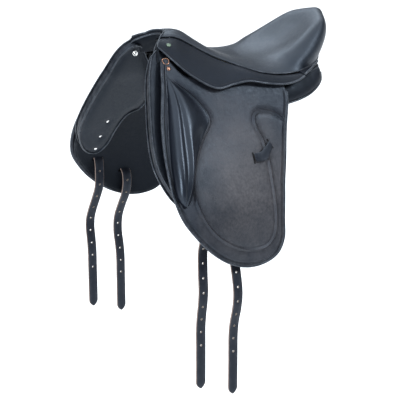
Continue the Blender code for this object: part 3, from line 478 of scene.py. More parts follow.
def frames(points, up, closed=False):
    """Directions along, up and across a line; up is one direction or one for each point."""
    p = np.asarray(points, float)
    if closed:
        run = np.roll(p, -1, axis=0) - np.roll(p, 1, axis=0)
    else:
        run = np.gradient(p, axis=0)
    run /= np.linalg.norm(run, axis=1, keepdims=True)
    up = np.broadcast_to(np.asarray(up, float), p.shape)
    side = np.cross(up, run)
    side /= np.maximum(np.linalg.norm(side, axis=1, keepdims=True), 1e-9)
    rise = np.cross(run, side)
    return run, rise, side


def tube(points, radius, up, sides=10, closed=False, flat=1.0):
    """Round cord along a line with rounded ends; radius is one number or one for each point."""
    p = np.asarray(points, float)
    r = np.broadcast_to(np.asarray(radius, float), (len(p),)).copy()
    run, rise, side = frames(p, up, closed)
    if not closed:
        p = np.vstack([p[:1] - run[:1] * r[0] * 0.7, p, p[-1:] + run[-1:] * r[-1] * 0.7])
        r = np.concatenate([[r[0] * 0.55], r, [r[-1] * 0.55]])
        rise = np.vstack([rise[:1], rise, rise[-1:]])
        side = np.vstack([side[:1], side, side[-1:]])
    a = np.arange(sides) * 2 * math.pi / sides
    rings = (p[:, None] + side[:, None] * (r[:, None, None] * np.cos(a)[None, :, None])
             + rise[:, None] * (flat * r[:, None, None] * np.sin(a)[None, :, None]))
    n = len(p)
    faces = []
    for i in range(n if closed else n - 1):
        j = (i + 1) % n
        for k in range(sides):
            q = (k + 1) % sides
            faces.append([i * sides + k, i * sides + q, j * sides + q, j * sides + k])
    if not closed:
        faces.append(list(range(sides))[::-1])
        faces.append([(n - 1) * sides + k for k in range(sides)])
    return Piece().add(rings.reshape(-1, 3), faces, 0, 1.0)


def stitches(points, normals, pitch=0.0042, length=0.0030, radius=0.00042):
    """Row of saddle stitches lying along a line."""
    p = np.asarray(points, float)
    q = np.hstack([p, np.asarray(normals, float)])
    run = np.concatenate([[0.0], np.cumsum(np.linalg.norm(np.diff(p, axis=0), axis=1))])
    count = max(1, int(run[-1] / pitch))
    at = (np.arange(count) + 0.5) * run[-1] / count
    c = np.stack([np.interp(at, run, q[:, k]) for k in range(6)], -1)
    ahead = np.stack([np.interp(np.minimum(at + 0.001, run[-1]), run, q[:, k]) for k in range(3)], -1)
    behind = np.stack([np.interp(np.maximum(at - 0.001, 0), run, q[:, k]) for k in range(3)], -1)
    t = ahead - behind
    t /= np.linalg.norm(t, axis=1, keepdims=True)
    n = c[:, 3:] / np.linalg.norm(c[:, 3:], axis=1, keepdims=True)
    s = np.cross(n, t)
    sides = 6
    rows = [(-0.5, -0.00035, 0.55), (-0.36, 0.00012, 1.0), (0.36, 0.00012, 1.0), (0.5, -0.00035, 0.55)]
    a = np.arange(sides) * 2 * math.pi / sides
    verts = np.zeros((count, len(rows), sides, 3))
    for k, (u, h, f) in enumerate(rows):
        mid = c[:, :3] + t * (u * length) + n * h
        verts[:, k] = (mid[:, None] + s[:, None] * (radius * 1.25 * f * np.cos(a))[None, :, None]
                       + n[:, None] * (radius * f * np.sin(a))[None, :, None])
    faces = []
    for i in range(count):
        base = i * len(rows) * sides
        for k in range(len(rows) - 1):
            for j in range(sides):
                q2 = (j + 1) % sides
                faces.append([base + k * sides + j, base + k * sides + q2,
                              base + (k + 1) * sides + q2, base + (k + 1) * sides + j])
        faces.append([base + j for j in range(sides)][::-1])
        faces.append([base + (len(rows) - 1) * sides + j for j in range(sides)])
    return Piece().add(verts.reshape(-1, 3), faces, 0, 0.0)


def turned(centre, axis, rows, sides=28):
    """Turned body about an axis: rows are (distance along, radius), closed at both ends."""
    c, n = Vector(centre), Vector(axis).normalized()
    u = n.orthogonal().normalized()
    v = n.cross(u)
    pts, faces = [], []
    for d, r in rows:
        for k in range(sides):
            a = 2 * math.pi * k / sides
            pts.append((c + n * d + u * (r * math.cos(a)) + v * (r * math.sin(a)))[:])
    for i in range(len(rows) - 1):
        for k in range(sides):
            q = (k + 1) % sides
            faces.append([i * sides + k, i * sides + q, (i + 1) * sides + q, (i + 1) * sides + k])
    faces.append(list(range(sides))[::-1])
    faces.append([(len(rows) - 1) * sides + k for k in range(sides)])
    return Piece().add(np.array(pts), faces, 0, 0.0)


def grid_faces(h, w):
    """Faces of two matching grids of points, facing apart, and the points round the first one's border."""
    ids = np.arange(h * w).reshape(h, w)
    quads = [[int(ids[i, j]), int(ids[i, j + 1]), int(ids[i + 1, j + 1]), int(ids[i + 1, j])]
             for i in range(h - 1) for j in range(w - 1)]
    border = list(ids[0, :]) + list(ids[1:, -1]) + list(ids[-1, -2::-1]) + list(ids[-2:0:-1, 0])
    return quads + [[i + h * w for i in q[::-1]] for q in quads], [int(b) for b in border]


def skin(grid, depth, inward):
    """Closed leather with a round edge, between a grid of points and the same grid moved in by depth."""
    h, w = grid.shape[:2]
    back = grid + inward * depth
    faces, border = grid_faces(h, w)
    bulge = (grid.reshape(-1, 3)[border] + back.reshape(-1, 3)[border]) / 2
    rim = []
    for k, b in enumerate(border):
        i, j = divmod(b, w)
        ni = min(max(i, 1), h - 2)
        nj = min(max(j, 1), w - 2)
        away = grid[i, j] - grid[ni, nj]
        size = np.linalg.norm(away)
        rim.append(bulge[k] + (away / size * depth * 0.35 if size > 0 else 0))
    pts = np.vstack([grid.reshape(-1, 3), back.reshape(-1, 3), np.array(rim)])
    m = len(border)
    for k in range(m):
        a, b = border[k], border[(k + 1) % m]
        ra, rb = 2 * h * w + k, 2 * h * w + (k + 1) % m
        faces.append([b, a, ra, rb])
        faces.append([rb, ra, a + h * w, b + h * w])
    wear = np.zeros(len(pts))
    wear[2 * h * w:] = 1.0
    return Piece().add(pts, faces, 0, wear)


# ---------------------------------------------------------------- materials
class Nodes:
    """Small helper for a material's node tree."""

    def __init__(self, name):
        self.mat = bpy.data.materials.new(name)
        self.mat.use_nodes = True
        self.tree = self.mat.node_tree
        self.tree.nodes.clear()
        self.out = self.tree.nodes.new("ShaderNodeOutputMaterial")
        self.bsdf = self.tree.nodes.new("ShaderNodeBsdfPrincipled")
        self.link(self.bsdf.outputs[0], self.out.inputs[0])
        self.coord = self.tree.nodes.new("ShaderNodeTexCoord").outputs["Object"]

    def link(self, a, b):
        self.tree.links.new(a, b)

    def noise(self, scale, detail=3.0, rough=0.5, distort=0.0, coord=None):
        n = self.tree.nodes.new("ShaderNodeTexNoise")
        n.inputs["Scale"].default_value = scale
        n.inputs["Detail"].default_value = detail
        n.inputs["Roughness"].default_value = rough
        n.inputs["Distortion"].default_value = distort
        self.link(coord or self.coord, n.inputs["Vector"])
        return n.outputs["Fac"]

    def cells(self, scale, feature):
        n = self.tree.nodes.new("ShaderNodeTexVoronoi")
        n.feature = feature
        n.inputs["Scale"].default_value = scale
        self.link(self.coord, n.inputs["Vector"])
        return n.outputs["Distance"]

    def ramp(self, value, stops):
        n = self.tree.nodes.new("ShaderNodeValToRGB")
        while len(n.color_ramp.elements) < len(stops):
            n.color_ramp.elements.new(0.5)
        for e, (at, colour) in zip(n.color_ramp.elements, stops):
            e.position = at
            e.color = (*colour, 1.0)
        self.link(value, n.inputs[0])
        return n.outputs[0]

    def spread(self, value, low, high, lo=0.3, hi=0.7):
        n = self.tree.nodes.new("ShaderNodeMapRange")
        n.inputs["From Min"].default_value = lo
        n.inputs["From Max"].default_value = hi
        n.inputs["To Min"].default_value = low
        n.inputs["To Max"].default_value = high
        self.link(value, n.inputs["Value"])
        return n.outputs[0]

    def math(self, kind, a, b):
        n = self.tree.nodes.new("ShaderNodeMath")
        n.operation = kind
        for k, v in enumerate((a, b)):
            if isinstance(v, (int, float)):
                n.inputs[k].default_value = v
            else:
                self.link(v, n.inputs[k])
        return n.outputs[0]

    def mix(self, factor, a, b, kind="MIX"):
        n = self.tree.nodes.new("ShaderNodeMix")
        n.data_type = "RGBA"
        n.blend_type = kind
        if isinstance(factor, (int, float)):
            n.inputs["Factor"].default_value = factor
        else:
            self.link(factor, n.inputs["Factor"])
        for socket, v in ((n.inputs[6], a), (n.inputs[7], b)):
            if isinstance(v, tuple):
                socket.default_value = (*v, 1.0)
            else:
                self.link(v, socket)
        return n.outputs[2]

    def wear(self):
        n = self.tree.nodes.new("ShaderNodeAttribute")
        n.attribute_name = "wear"
        return n.outputs["Fac"]

    def bump(self, height, distance):
        n = self.tree.nodes.new("ShaderNodeBump")
        n.inputs["Distance"].default_value = distance
        n.inputs["Strength"].default_value = 1.0
        self.link(height, n.inputs["Height"])
        return n.outputs[0]

    def set(self, **values):
        for key, v in values.items():
            socket = self.bsdf.inputs[key.replace("_", " ")]
            if isinstance(v, (int, float)):
                socket.default_value = v
            elif isinstance(v, tuple):
                socket.default_value = (*v, 1.0)
            else:
                self.link(v, socket)
        return self.mat


WORN = (0.10, 0.105, 0.115)            # leather where its edges are rubbed
HAZE = (0.74, 0.86, 1.0, 1.0)          # cool tint of the shine on dyed leather


def leather(name, dark, light, rough, grain, depth, wear=0.25, blotch=6.0, sheen=0.0, level=0.5,
            crease=0.35, painted_highlight=None, uneven=0.08):
    """Grained leather: clouded colour, pebbled grain, fine creases, edges worn paler and smoother, and,
    where given, a pale patch of colour painted as a highlight.
    """
    m = Nodes(name)
    cloud = m.noise(blotch, 4.0, 0.55)
    fine = m.noise(150.0, 3.0, 0.6)
    colour = m.ramp(cloud, [(0.32, dark), (0.68, light)])
    if painted_highlight:
        x, z, reach, tone = painted_highlight         # painted highlight: a pale patch of colour for the soft shine on the flap's middle; its middle, reach and colour
        place = m.tree.nodes.new("ShaderNodeMapping")
        place.inputs["Scale"].default_value = (1.0, 0.0, 0.8)
        place.inputs["Location"].default_value = (-x, 0.0, -z * 0.8)
        m.link(m.coord, place.inputs["Vector"])
        away = m.tree.nodes.new("ShaderNodeVectorMath")
        away.operation = "LENGTH"
        m.link(place.outputs[0], away.inputs[0])
        patch = m.math("ADD", away.outputs["Value"], m.spread(m.noise(16.0, 4.0, 0.6), -0.035, 0.035))
        colour = m.mix(m.spread(patch, 1.0, 0.0, reach * 0.2, reach), colour, tone)
    speck = m.ramp(fine, [(0.30, (0.72, 0.72, 0.72)), (0.72, (1.26, 1.26, 1.26))])
    colour = m.mix(1.0, colour, speck, "MULTIPLY")
    rub = m.math("MULTIPLY", m.wear(), m.spread(m.noise(60.0, 2.0, 0.5), 0.15, 1.0, 0.35, 0.65))
    colour = m.mix(m.math("MULTIPLY", rub, wear), colour, WORN)
    pebble = m.cells(1.0 / grain, "SMOOTH_F1")
    pore = m.noise(1.0 / (grain * 0.45), 2.0, 0.6)
    fold = m.noise(95.0, 4.0, 0.62, 0.6)
    height = m.math("ADD", m.math("MULTIPLY", pebble, 0.7), m.math("MULTIPLY", pore, 0.35))
    height = m.math("ADD", height, m.math("MULTIPLY", fold, crease * 3.0))
    shine = m.math("ADD", m.spread(fine, rough - uneven, rough + uneven), m.math("MULTIPLY", cloud, 0.06))
    shine = m.math("SUBTRACT", shine, m.math("MULTIPLY", rub, 0.08))
    m.bsdf.inputs["Specular IOR Level"].default_value = level
    m.bsdf.inputs["Specular Tint"].default_value = HAZE
    m.bsdf.inputs["Sheen Weight"].default_value = sheen
    m.bsdf.inputs["Sheen Roughness"].default_value = 0.45
    return m.set(Base_Color=colour, Roughness=shine, Normal=m.bump(height, depth))


def metal(name, colour, rough, tarnish=None):
    """Polished metal with faint scratches and tarnish in patches."""
    m = Nodes(name)
    patch = m.noise(420.0, 3.0, 0.6)
    dull = tarnish or tuple(c * 0.72 for c in colour)
    tint = m.ramp(patch, [(0.36, dull), (0.62, colour)])
    lines = m.noise(2400.0, 2.0, 0.7, 0.4)
    m.bsdf.inputs["Metallic"].default_value = 1.0
    return m.set(Base_Color=tint, Roughness=m.spread(patch, rough + 0.12, rough),
                 Normal=m.bump(lines, 0.00002))


def fibre(name, dark, light, rough=0.9, scale=1400.0, depth=0.0003):
    """Felt, foam, thread or raw leather edge: matt, with a fine open texture."""
    m = Nodes(name)
    nap = m.noise(scale, 3.0, 0.7)
    shade = m.noise(45.0, 3.0, 0.55)
    tones = [(0.30, dark), (0.70, light)]
    tint = m.mix(0.5, m.ramp(nap, tones), m.ramp(shade, tones))
    return m.set(Base_Color=tint, Roughness=m.spread(nap, rough - 0.1, rough + 0.05),
                 Normal=m.bump(nap, depth))


def webbing_cloth(name, dark, light):
    """Woven tape: crossed ribs along and across."""
    m = Nodes(name)
    ribs = []
    for axis in ("X", "Y"):
        w = m.tree.nodes.new("ShaderNodeTexWave")
        w.bands_direction = axis
        w.inputs["Scale"].default_value = 180.0
        w.inputs["Distortion"].default_value = 0.6
        m.link(m.coord, w.inputs["Vector"])
        ribs.append(w.outputs["Fac"])
    weave = m.math("MULTIPLY", ribs[0], ribs[1])
    tint = m.ramp(weave, [(0.10, dark), (0.75, light)])
    return m.set(Base_Color=tint, Roughness=m.spread(weave, 0.95, 0.8), Normal=m.bump(weave, 0.0004))


def wood(name):
    """Laminated beech of the tree under its varnish."""
    m = Nodes(name)
    stretch = m.tree.nodes.new("ShaderNodeMapping")
    stretch.inputs["Scale"].default_value = (1.0, 6.0, 14.0)
    m.link(m.coord, stretch.inputs["Vector"])
    rings = m.noise(30.0, 5.0, 0.6, 1.2, stretch.outputs[0])
    tint = m.ramp(rings, [(0.30, (0.20, 0.11, 0.05)), (0.70, (0.42, 0.26, 0.13))])
    m.bsdf.inputs["Coat Weight"].default_value = 0.3
    return m.set(Base_Color=tint, Roughness=m.spread(rings, 0.55, 0.42), Normal=m.bump(rings, 0.0002))


SEAT = leather("seat_leather", (0.0055, 0.0075, 0.0125), (0.0095, 0.0125, 0.019), 0.40, 0.0009, 0.00014,
               level=0.60, sheen=0.04)
SKIRT = leather("skirt_leather", (0.0042, 0.0054, 0.0090), (0.0085, 0.0102, 0.0155), 0.44, 0.0010, 0.00020,
                level=0.26)
# the pale patch in the flap's middle is a painted highlight for the soft shine there
FLAP = leather("flap_leather", (0.0040, 0.0052, 0.0090), (0.0200, 0.0205, 0.0260), 0.43, 0.0011, 0.00026,
               blotch=13.0, crease=0.45, painted_highlight=(0.125, -0.185, 0.165, (0.066, 0.061, 0.063)))
BLOCK = leather("block_leather", (0.0048, 0.0060, 0.0100), (0.0095, 0.0115, 0.0175), 0.31, 0.0009, 0.00004,
                crease=0.05, level=0.62, uneven=0.015)
PANEL = leather("panel_leather", (0.0036, 0.0046, 0.0078), (0.0075, 0.0090, 0.0135), 0.46, 0.0010, 0.00020,
                level=0.36)
# sweat flap leather coloured darker than the rest as painted shade on the horse side between the flap and
# the panel
SWEAT_PAINTED_SHADE = leather("sweat_leather", (0.0022, 0.0028, 0.0050), (0.0046, 0.0054, 0.0085), 0.55, 0.0013, 0.00024,
                level=0.24)
LINING = leather("lining_leather", (0.0026, 0.0033, 0.0058), (0.0052, 0.0063, 0.0095), 0.52, 0.0012, 0.00020,
                 level=0.20)
CORD = leather("cord_leather", (0.0055, 0.0065, 0.0095), (0.012, 0.0135, 0.0190), 0.34, 0.0008, 0.00010,
               wear=0.35)
STRAP = leather("strap_leather", (0.0075, 0.0085, 0.0130), (0.016, 0.0170, 0.0230), 0.46, 0.0011, 0.00018,
                level=0.36)
RAW = fibre("raw_edge", (0.12, 0.085, 0.070), (0.30, 0.235, 0.205), 0.85, 900.0, 0.0003)
HOLE = fibre("hole_edge", (0.20, 0.16, 0.13), (0.42, 0.37, 0.32), 0.85, 1200.0, 0.0002)
DARK = fibre("slot_shadow", (0.004, 0.004, 0.005), (0.008, 0.008, 0.009), 0.95)
THREAD = fibre("thread", (0.012, 0.013, 0.016), (0.030, 0.032, 0.036), 0.75, 2600.0, 0.0002)
FOAM = fibre("foam", (0.50, 0.44, 0.30), (0.68, 0.61, 0.44), 0.95, 900.0, 0.0006)
WEBBING = webbing_cloth("webbing", (0.20, 0.19, 0.17), (0.44, 0.42, 0.38))
WOOD = wood("tree_wood")
# steel coloured near black as painted shade: the stirrup bars and head plate sit in shade under the skirts
# and the pommel
STEEL_PAINTED_SHADE = metal("steel", (0.085, 0.088, 0.095), 0.42)
BRIGHT = metal("bright_steel", (0.86, 0.86, 0.85), 0.16, (0.62, 0.62, 0.61))
COPPER = metal("copper_plate", (0.36, 0.215, 0.155), 0.28, (0.17, 0.10, 0.075))
BRASS = metal("nail_brass", (0.20, 0.25, 0.20), 0.46, (0.10, 0.13, 0.105))


# ---------------------------------------------------------------- placing pieces on their bodies
# the fold line's two ends, the way down from it, and where the bend starts and ends along that way
FOLDS = {
    "flap": (FOLD_FRONT, FOLD_REAR, (0.0, 0.35, -0.94), -0.006, 0.012),
    "cushion": (FOLD_FRONT, FOLD_REAR, (0.0, 0.35, -0.94), -0.016, 0.022),
    "skirt": (SKIRT_FOLD_FRONT, SKIRT_FOLD_REAR, (0.44, 0.54, -0.72), 0.001, 0.024),
}


def fold(kind, sign):
    """Start and end of the bend across a fold line; the cushion bends over a longer stretch."""
    front, rear, down, before, after = FOLDS[kind]
    axis = (rear - front).normalized()
    down = Vector(down)
    down = (down - axis * down.dot(axis)).normalized()
    flip = Vector((1.0, sign, 1.0))
    return (front + down * before) * flip, (front + down * after) * flip


def pair(stem, piece, materials, body=None, bend=None, nodes=(), sharp=50):
    """The same piece on the left and, mirrored, on the right; a piece with a body rides with it, a piece
    with a fold line stays where it lies.
    """
    for side, sign in SIDES:
        work = piece if sign > 0 else piece.mirrored()
        obj = work.finish(stem + "_" + side, *materials, sharp=sharp)
        if bend:
            start, end = fold(bend, sign)
        if bend == "skirt":
            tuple(start[:])
            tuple(end[:])
            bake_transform(obj)
        elif bend:
            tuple(start[:])
            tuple(end[:])
            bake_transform(obj)
        else:
            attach(obj, body % side if "%s" in body else body)
        if nodes:
            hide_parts(*[n + "_" + side for n in nodes])


# ---------------------------------------------------------------- flap
RAISED = smooth_line(RAISED_LINE, 0.0035)
FLAP_LOOP = spaced(smooth_outline(FLAP_OUTLINE + FLAP_TOP, 0.004, sharp=(0, 30)), 0.0055, closed=True)
EDGE_LINE = smooth_line(FLAP_OUTLINE, 0.004)


def offsets(line, shifts, gap):
    """Lines beside a flat line, at the given shifts, as one set of points."""
    p = spaced(line, gap)
    run = np.gradient(p, axis=0)
    n = np.stack([run[:, 1], -run[:, 0]], -1)
    n /= np.linalg.norm(n, axis=1, keepdims=True)
    return np.vstack([p + n * s for s in shifts])


def flap_relief(flat):
    """Raised sewn line, the groove inside the rolled edge, and a slight fullness between them."""
    d, at = line_distance(RAISED, flat)
    fade = smooth(at / 0.02) * smooth((1 - at) / 0.015)
    lift = 0.0026 * bump(d, 0.0022) - 0.0018 * bump(d - 0.0054, 0.0020)
    e, _ = line_distance(EDGE_LINE, flat)
    return lift * fade - 0.0017 * bump(e - 0.0078, 0.0018) + 0.0005 * bump(e - 0.0115, 0.0022)


raised_guides = offsets(RAISED, (-0.0066, -0.0050, -0.0034, -0.0019, 0.0, 0.0019, 0.0034, 0.0050, 0.0066),
                        0.0036)
edge_guides = offsets(EDGE_LINE, (-0.0058, -0.0078, -0.0098, -0.0118, -0.0140), 0.0050)
clear_of_line = line_distance(RAISED, edge_guides)[0] > 0.0085
guides = np.vstack([raised_guides, edge_guides[clear_of_line]])
screw_rings = [ring(x, z, SCREW_HOLE_R, 12) for x, z in KNEE_SCREWS]
flap_piece = cut(FLAP_LOOP, 0.0062, on_flap, FLAP_T, guides=guides, relief=flap_relief)
pair("flap", flap_piece, [FLAP], bend="flap", nodes=("flap", "flap_top"))

# rolled edge of the flap, and the second cord beside it along the front
edge_out = offsets(EDGE_LINE, (0.0,), 0.0040)
edge_up = flap_normal(edge_out[:, 0], edge_out[:, 1])
flap_cord = tube(on_flap(edge_out, -0.0012), 0.0027, edge_up, sides=12)
pair("flap_edge", flap_cord, [CORD], bend="flap")
SECOND_CORD = [(0.250, 0.088), (0.2555, 0.074), (0.262, 0.056), (0.2705, 0.0300), (0.2828, -0.0128),
               (0.2952, -0.0533), (0.3065, -0.0933), (0.3135, -0.1251), (0.3175, -0.1576), (0.3170, -0.1860),
               (0.3090, -0.2170), (0.2960, -0.2430)]
second = smooth_line(SECOND_CORD, 0.0040)
taper = 0.0020 * np.clip((np.arange(len(second))[::-1]) / 14.0, 0.15, 1.0)
second_cord = tube(on_flap(second, 0.0002), taper, flap_normal(second[:, 0], second[:, 1]), sides=10)
pair("flap_cord", second_cord, [CORD], bend="flap")


def inset(line, shift, loop):
    """Flat line moved inwards from the edge of a loop."""
    gap = 0.004
    p = offsets(line, (shift,), gap)
    return p if inside(loop, p).mean() > 0.5 else offsets(line, (-shift,), gap)


flap_seam = inset(EDGE_LINE[6:-4], 0.0058, FLAP_LOOP)
flap_thread = stitches(on_flap(flap_seam, 0.0001), flap_normal(flap_seam[:, 0], flap_seam[:, 1]))
pair("flap_stitching", flap_thread, [THREAD], bend="flap")

# ---------------------------------------------------------------- knee block
block_front = lookup(BLOCK_FRONT)
block_rear = lookup(BLOCK_REAR)
ridge_front = lookup(RIDGE_FRONT)
ridge_rear = lookup(RIDGE_REAR)
block_height = lookup([(0.050, 0.0020), (0.030, 0.0080), (0.000, 0.0165), (-0.040, 0.0235), (-0.090, 0.0275),
                       (-0.150, 0.0265), (-0.180, 0.0220), (-0.209, 0.0140)])


def knee_block():
    """Block cover: a long hollow slope up to the rear ridge, a groove, the front ridge and a round fall."""
    foot, drop = -0.180, 0.029             # below this height the block rounds off
    turn = np.linspace(0.06, 1.0, 16) * 1.5708
    levels = np.concatenate([np.linspace(0.050, foot, 92), foot - drop * np.sin(turn)])
    levels[-1] = -0.2088
    rows = []
    for z in levels:
        xr, xf = float(block_rear(z)), float(block_front(z))
        x2 = min(max(float(ridge_rear(z)), xr + 0.22 * (xf - xr)), xr + 0.70 * (xf - xr))
        x1 = min(max(float(ridge_front(z)), x2 + 0.10 * (xf - xr)), xf - 0.18 * (xf - xr))
        top = float(block_height(z))
        end = math.sqrt(max(0.0, 1 - (max(0.0, foot - z) / drop) ** 2))
        top *= max(end, 0.0) ** 0.8
        row = []
        for k in range(21):                # rear slope, then the groove, then the round front
            a = k / 20
            row.append((xr + (x2 - xr) * a, z, top * (a * a * (3 - 2 * a)) ** 0.85 * 0.97))
        for k in range(1, 13):
            b = k / 12
            dip = 0.16 * math.sin(math.pi * b) ** 2
            row.append((x2 + (x1 - x2) * b, z, top * (0.97 + 0.03 * b - dip)))
        for k in range(1, 19):
            c = math.sin(k / 18 * math.pi / 2)
            row.append((x1 + (xf - x1) * c, z, top * math.sqrt(max(0.0, 1 - c * c))))
        rows.append(row)
    flat = np.array(rows)
    flat[:, :, 2] = np.maximum(flat[:, :, 2], 0.0)
    top = on_flap(flat[:, :, :2].reshape(-1, 2), flat[:, :, 2].reshape(-1) + 0.0004).reshape(flat.shape)
    for _ in range(10):
        mid = (top[:-2, 1:-1] + top[2:, 1:-1] + top[1:-1, :-2] + top[1:-1, 2:]) / 4
        top[1:-1, 1:-1] = top[1:-1, 1:-1] * 0.5 + mid * 0.5
    low = on_flap(flat[:, :, :2].reshape(-1, 2), -0.0012).reshape(flat.shape)
    return closed_grid(top, low)


def closed_grid(top, low):
    """Closed body between two matching grids."""
    h, w = top.shape[:2]
    faces, border = grid_faces(h, w)
    for k, a in enumerate(border):
        b = border[(k + 1) % len(border)]
        faces.append([b, a, a + h * w, b + h * w])
    return Piece().add(np.vstack([top.reshape(-1, 3), low.reshape(-1, 3)]), faces, 0, 0.0)


pair("knee_block", knee_block(), [BLOCK], bend="flap", nodes=("knee_block",),
     sharp=80)

# ---------------------------------------------------------------- keeper for the stirrup leather's end
keeper_loop = spaced(smooth_outline(KEEPER_OUTLINE, 0.003, sharp=(0, 2, 3, 6)), 0.0025, closed=True)


def keeper_place(flat, off):
    """The keeper arches off the flap between its sewn ends."""
    rear, front = 0.040, 0.094
    x = flat[:, 0]
    arch = 0.0020 + 0.0042 * rounded(np.minimum(np.abs(x - rear), np.abs(front - x)), 0.020)
    return on_flap(flat, arch + np.asarray(off))


keeper_piece = cut(keeper_loop, 0.003, lambda f, o: keeper_place(f, np.asarray(o) + 0.0020), 0.0022)
pair("keeper", keeper_piece, [STRAP], body="flap_%s_body", nodes=("keeper",))
# the slits are dark tubes: painted shadow inside the keeper's slots
for stem, (x0, z0, x1, z1) in (("keeper_slot_front", (0.0955, -0.1255, 0.0945, -0.1490)),
                               ("keeper_slot_rear", (0.0490, -0.1030, 0.0375, -0.1230))):
    line = np.linspace((x0, z0), (x1, z1), 10)
    n = flap_normal(line[:, 0], line[:, 1])
    slit = tube(on_flap(line, 0.0004), 0.0017, n, sides=8, flat=0.45)
    pair(stem, slit, [DARK], body="flap_%s_body")

# ---------------------------------------------------------------- sweat flap
SWEAT_OUTLINE = [p for p in FLAP_OUTLINE if p[1] < 0.036] + [SWEAT_FRONT_TOP]


def slot_loop(strap):
    """Opening in the sweat flap for a girth strap."""
    x, z, w = strap["x"][0], strap["slot"], STRAP_W / 2 + 0.0028
    half_gap, count = 0.0036, 9
    xs = np.linspace(x - w, x + w, count)
    return np.vstack([np.stack([xs, np.full(count, z - half_gap)], -1),
                      np.stack([xs[::-1], np.full(count, z + half_gap)], -1)])


sweat_curve = smooth_outline(SWEAT_OUTLINE, 0.004, sharp=(0, len(SWEAT_OUTLINE) - 1))
sweat_loop = spaced(sweat_curve, 0.006, closed=True)
sweat_loop = sweat_loop - outward(sweat_loop) * 0.0035
SWEAT_HOLES = screw_rings + [slot_loop(STRAP_FRONT), slot_loop(STRAP_REAR)]
sweat_piece = cut(sweat_loop, 0.0090, lambda f, o: on_flap(f, np.asarray(o) + OFF_SWEAT), SWEAT_T,
                  holes=SWEAT_HOLES)
pair("sweat_flap", sweat_piece, [SWEAT_PAINTED_SHADE], body="flap_%s_body", nodes=("sweat_flap",))

sweat_line = smooth_line(SWEAT_OUTLINE, 0.004)
sweat_seam = inset(sweat_line[8:-8], 0.0095, sweat_loop)
sweat_n = -flap_normal(sweat_seam[:, 0], sweat_seam[:, 1])
sweat_thread = stitches(on_flap(sweat_seam, OFF_SWEAT - SWEAT_T - 0.0001), sweat_n)
pair("sweat_stitching", sweat_thread, [THREAD], body="flap_%s_body")

# ---------------------------------------------------------------- panel's front lobe and head, one cushion
LOBE_LOOP = spaced(smooth_outline(LOBE_OUTLINE, 0.004), 0.0060, closed=True)


def lobe_place(flat, off):
    """Towards the head the lobe comes closer to the flap and gets thinner."""
    rise = smooth((flat[:, 1] - 0.030) / 0.075)
    depth = LOBE_T - 0.0040 * rise
    return on_flap(flat, OFF_LOBE + 0.0075 * rise + np.asarray(off) * depth / LOBE_T)


def lobe_crown(flat):
    """Fullness of the cushion's horse side, drawn in at the screws."""
    d = line_distance(LOBE_LOOP, flat, True)[0]
    full = 0.0045 * (1 - np.exp(-(d / 0.014) ** 2)) - 0.0012 * bump(d - 0.007, 0.0035)
    for x, z in KNEE_SCREWS:
        full -= 0.0030 * bump(np.hypot(flat[:, 0] - x, flat[:, 1] - z), 0.0085)
    return full


gusset = [(0.0022, -0.0004), (0.0032, -0.0016), (0.0030, -0.0036), (0.0042, -0.0085), (0.0046, -0.0120),
          (0.0042, -0.0158), (0.0030, -0.0200), (0.0032, -0.0218), (0.0022, -0.0231)]
lobe_piece = cut(LOBE_LOOP, 0.0075, lobe_place, LOBE_T, rim=gusset, holes=screw_rings, crown=lobe_crown)
pair("panel_lobe", lobe_piece, [PANEL], bend="cushion", nodes=("panel_lobe", "panel_head"))
lobe_edge = spaced(np.vstack([LOBE_LOOP, LOBE_LOOP[:1]]), 0.0045)[:-1]
lobe_n = flap_normal(lobe_edge[:, 0], lobe_edge[:, 1])
welt_in = tube(lobe_place(lobe_edge, -LOBE_T - 0.0001), 0.0022, lobe_n, sides=10, closed=True)
pair("lobe_welt_inner", welt_in, [CORD], bend="cushion")
welt_out = tube(lobe_place(lobe_edge, -0.0006), 0.0017, lobe_n, sides=10, closed=True)
pair("lobe_welt_outer", welt_out, [CORD], bend="cushion")


# ---------------------------------------------------------------- girth straps
def strap_line(spec):
    """Centre line of a strap from its sewn root inside the flap down to the tip."""
    x_top, x_tip = spec["x"]
    root_top = -0.035
    middle = OFF_ROOT - STRAP_T / 2
    rows = [on_flap([(x_top, z)], middle)[0] for z in np.linspace(root_top, spec["slot"] + 0.030, 9)]
    rows.append(on_flap([(x_top, spec["slot"] + 0.008)], middle - 0.0012)[0])
    rows += [np.array([x_top, y, z]) for z, y in spec["path"]]
    z_last, y_last = spec["path"][-1]
    rows += [np.array([x_top, y_last, z_last + (spec["tip"] - z_last) * k / 3]) for k in (1, 2, 3)]
    line = smooth_line([tuple(r) for r in rows], 0.0022)
    below = np.concatenate([[0.0], np.cumsum(np.linalg.norm(np.diff(line, axis=0), axis=1))])
    start = below[np.argmin(np.abs(line[:, 2] - spec["path"][0][0]))]
    lean = smooth((below - start) / 0.20)
    line[:, 0] = x_top + (x_tip - x_top) * lean
    return line, below


